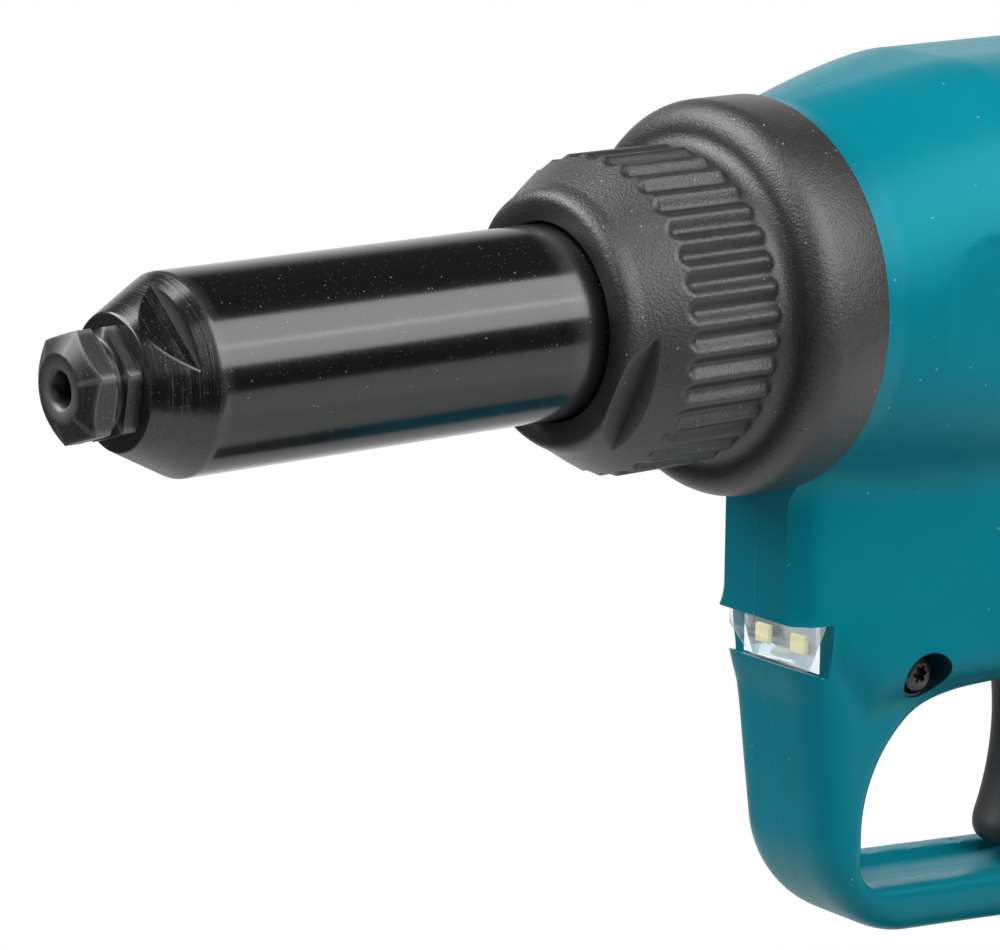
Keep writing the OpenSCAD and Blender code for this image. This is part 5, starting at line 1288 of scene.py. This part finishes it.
def coil_spring(node, body, joint, along, wire_r, turns):
    """A coil spring that fills a node's box along one axis. The joint's travel is read but moves nothing.

    At turn t the wire's middle lies at R (cos t, sin t) across the axis and rises evenly along it, and
    the wire's skin lies at wire_r (cos s, sin s) from there, outwards and along the axis.
    """
    low, high = tool_box(node)
    middle, length = (low + high) / 2, (high - low)[along]
    first, second = (along + 1) % 3, (along + 2) % 3
    turn = np.linspace(0, 2 * math.pi * turns, turns * WIRE_STEPS + 1)[:, None]
    side = np.linspace(0, 2 * math.pi, WIRE_SIDES, endpoint=False)
    radius = (high - middle)[first] - wire_r + wire_r * np.cos(side)
    rise = wire_r + (length - 2 * wire_r) * turn / turn[-1]
    points = np.empty((len(turn), WIRE_SIDES, 3))
    points[..., first] = middle[first] + radius * np.cos(turn)
    points[..., second] = middle[second] + radius * np.sin(turn)
    points[..., along] = low[along] + rise + wire_r * np.sin(side)
    mesh = make_mesh(node + "_form", points, capped(points))
    spring = add_piece(node + "_form", mesh, body, "steel", replaces=[node])
    moves = {row["name"]: row for row in frame["record"]["behaviour"]["joints"]}
    travel = moves[joint]["range_m"][1] / MM
    1 - travel / length
    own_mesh(spring)


battery()
battery_button()
coil_spring("jaw_spring", "screw", "jaw_push", along=0, wire_r=0.8, turns=5)
coil_spring("button_spring", "battery", "button_press", along=2, wire_r=0.4, turns=5)

# Light, floor and camera

FILL = 0.14
ROOM = 0.05
BACKDROP_WAY = (-0.61, -0.79, 0.0)
VIEW_AZIMUTH = math.radians(37.58)
VIEW_RISE = math.radians(13.15)
VIEW_ROLL = math.radians(0.52)
VIEW_DISTANCE = 689.81
VIEW_TARGET = np.array([52.15, 0.0, -23.36])
SENSOR = 36.0
FOCAL_WIDTHS = 4.42311
# The floor is in metres of the row frame
FLOOR_NEAR = 0.44
FLOOR_FAR = -0.95
FLOOR_HALF_W = 0.95
FLOOR_FADE = (0.16, 0.36)
FLOOR_DIM = (0.1, 0.28)
FLOOR_GREY = (0.66, 0.66, 0.66, 1)
WHITE = (1, 1, 1, 1)


def light_path(base):
    """1 for camera, glossy and transmission rays."""
    rays = [base.node("ShaderNodeLightPath", output=name)
            for name in ("Is Camera Ray", "Is Glossy Ray", "Is Transmission Ray")]
    return base.math("MAXIMUM", base.math("MAXIMUM", rays[0], rays[1]), rays[2])


def dot(base, vector, direction):
    """How far a vector reaches along a direction: their dot product."""
    return base.node("ShaderNodeVectorMath", {"operation": "DOT_PRODUCT"}, {0: vector, 1: direction}, "Value")


def studio():
    """The backdrop is white to the camera and through glass, and white in gloss where it stands behind the
    tool. The rest of the room is dim in gloss, and a faint even light fills the shadows."""
    world = bpy.data.worlds.new("studio")
    bpy.context.scene.world = world
    world.use_nodes = True
    base = Signal(world.node_tree)
    world.node_tree.nodes.clear()
    way = base.node("ShaderNodeTexCoord", output="Generated")
    toward = dot(base, way, BACKDROP_WAY)
    gloss = base.node("ShaderNodeLightPath", output="Is Glossy Ray")
    backdrop = toward.step(0.8, 1.0) * (1 - ROOM) + ROOM
    level = base.node("ShaderNodeMix", {}, {0: gloss, 2: 1.0, 3: backdrop})
    white = base.node("ShaderNodeBackground", {}, {"Color": WHITE, "Strength": level})
    fill = base.node("ShaderNodeBackground", {}, {"Color": (0.97, 0.985, 1, 1), "Strength": FILL})
    both = base.node("ShaderNodeMixShader", {}, {0: light_path(base), 1: fill, 2: white})
    base.node("ShaderNodeOutputWorld", {}, {"Surface": both})


def placed(right, up, back, place):
    """The matrix of an object that looks along -back from a place in the tool's frame."""
    matrix = np.eye(4)
    matrix[:3, 0], matrix[:3, 1], matrix[:3, 2] = right, up, back
    matrix[:3, 3] = (np.asarray(place, float) + ORIGIN) * MM
    return Matrix(matrix.tolist())


def softbox(name, place, aim, size, radiance):
    """A rectangular lamp, placed in the tool's frame. Its power is radiance times pi times its area."""
    lamp = bpy.data.lights.new(name, "AREA")
    lamp.shape = "RECTANGLE"
    lamp.size, lamp.size_y = (side * MM for side in size)
    lamp.energy = radiance * math.pi * lamp.size * lamp.size_y
    made = bpy.data.objects.new(name, lamp)
    bpy.context.scene.collection.objects.link(made)
    back = unit(np.array(place, float) - np.array(aim, float))
    across = unit(np.array([1.0, 0, 0]) - back[0] * back)
    made.matrix_world = placed(across, np.cross(back, across), back, place)


def softboxes():
    """One long box high on the left with a brighter tube in it, and one high in front on the right."""
    softbox("left_high", (-70, 249, 201), (-70, 0, 0), (560, 310), 3.9)
    softbox("left_tube", (-70, 257, 178), (-70, 0, 0), (560, 24), 2.2)
    softbox("front_high", (470, -430, 560), (0, 0, -40), (700, 700), 7.2)


def pale_floor(across):
    """Grey near the tool and white away from it. Its white is dimmed in gloss at the front right, where its
    mirror image would veil the guard."""
    material = bpy.data.materials.new("pale_floor")
    material.use_nodes = True
    tree = material.node_tree
    tree.nodes.clear()
    base = Signal(tree)
    place = base.node("ShaderNodeTexCoord", output="Object")
    away = base.node("ShaderNodeVectorMath", {"operation": "LENGTH"}, {0: place}, "Value").step(*FLOOR_FADE)
    diffuse = base.node("ShaderNodeBsdfDiffuse", {}, {"Color": FLOOR_GREY})
    gloss = base.node("ShaderNodeLightPath", output="Is Glossy Ray")
    side = dot(base, place, (*across, 0))
    level = 1 - gloss * side.step(*FLOOR_DIM) * 0.9
    white = base.node("ShaderNodeEmission", {}, {"Color": WHITE, "Strength": level})
    both = base.node("ShaderNodeMixShader", {}, {0: away * light_path(base), 1: diffuse, 2: white})
    base.node("ShaderNodeOutputMaterial", {}, {"Surface": both})
    return material


def floor():
    """A flat floor under the tool, square to the view, that keeps the tool's shadow."""
    way = np.array([math.sin(VIEW_AZIMUTH), math.cos(VIEW_AZIMUTH)])
    across = np.array([way[1], -way[0]])
    ends = [(FLOOR_NEAR, -FLOOR_HALF_W), (FLOOR_NEAR, FLOOR_HALF_W), (FLOOR_FAR, FLOOR_HALF_W),
            (FLOOR_FAR, -FLOOR_HALF_W)]
    mesh = bpy.data.meshes.new("floor")
    mesh.from_pydata([(*(a * way + b * across), 0.0) for a, b in ends], [], [(3, 2, 1, 0)])
    mesh.materials.append(pale_floor(across))
    made = bpy.data.objects.new("floor", mesh)
    bpy.context.scene.collection.objects.link(made)


def camera():
    """The photograph's view: a long lens in front of the nose, to its left and a little above."""
    level = math.cos(VIEW_RISE)
    back = np.array([math.sin(VIEW_AZIMUTH) * level, math.cos(VIEW_AZIMUTH) * level, math.sin(VIEW_RISE)])
    right = unit(np.cross(-back, [0, 0, 1]))
    up = np.cross(right, -back)
    turn, tilt = math.cos(VIEW_ROLL), math.sin(VIEW_ROLL)
    optics = bpy.data.cameras.new("camera")
    optics.sensor_width = SENSOR
    optics.lens = SENSOR * FOCAL_WIDTHS
    optics.clip_start, optics.clip_end = 0.05, 20
    made = bpy.data.objects.new("camera", optics)
    bpy.context.scene.collection.objects.link(made)
    made.matrix_world = placed(right * turn + up * tilt, up * turn - right * tilt, back,
                               VIEW_TARGET + back * VIEW_DISTANCE)
    bpy.context.scene.camera = made


studio()
floor()
camera()
softboxes()
bpy.context.scene.view_settings.view_transform = "Standard"
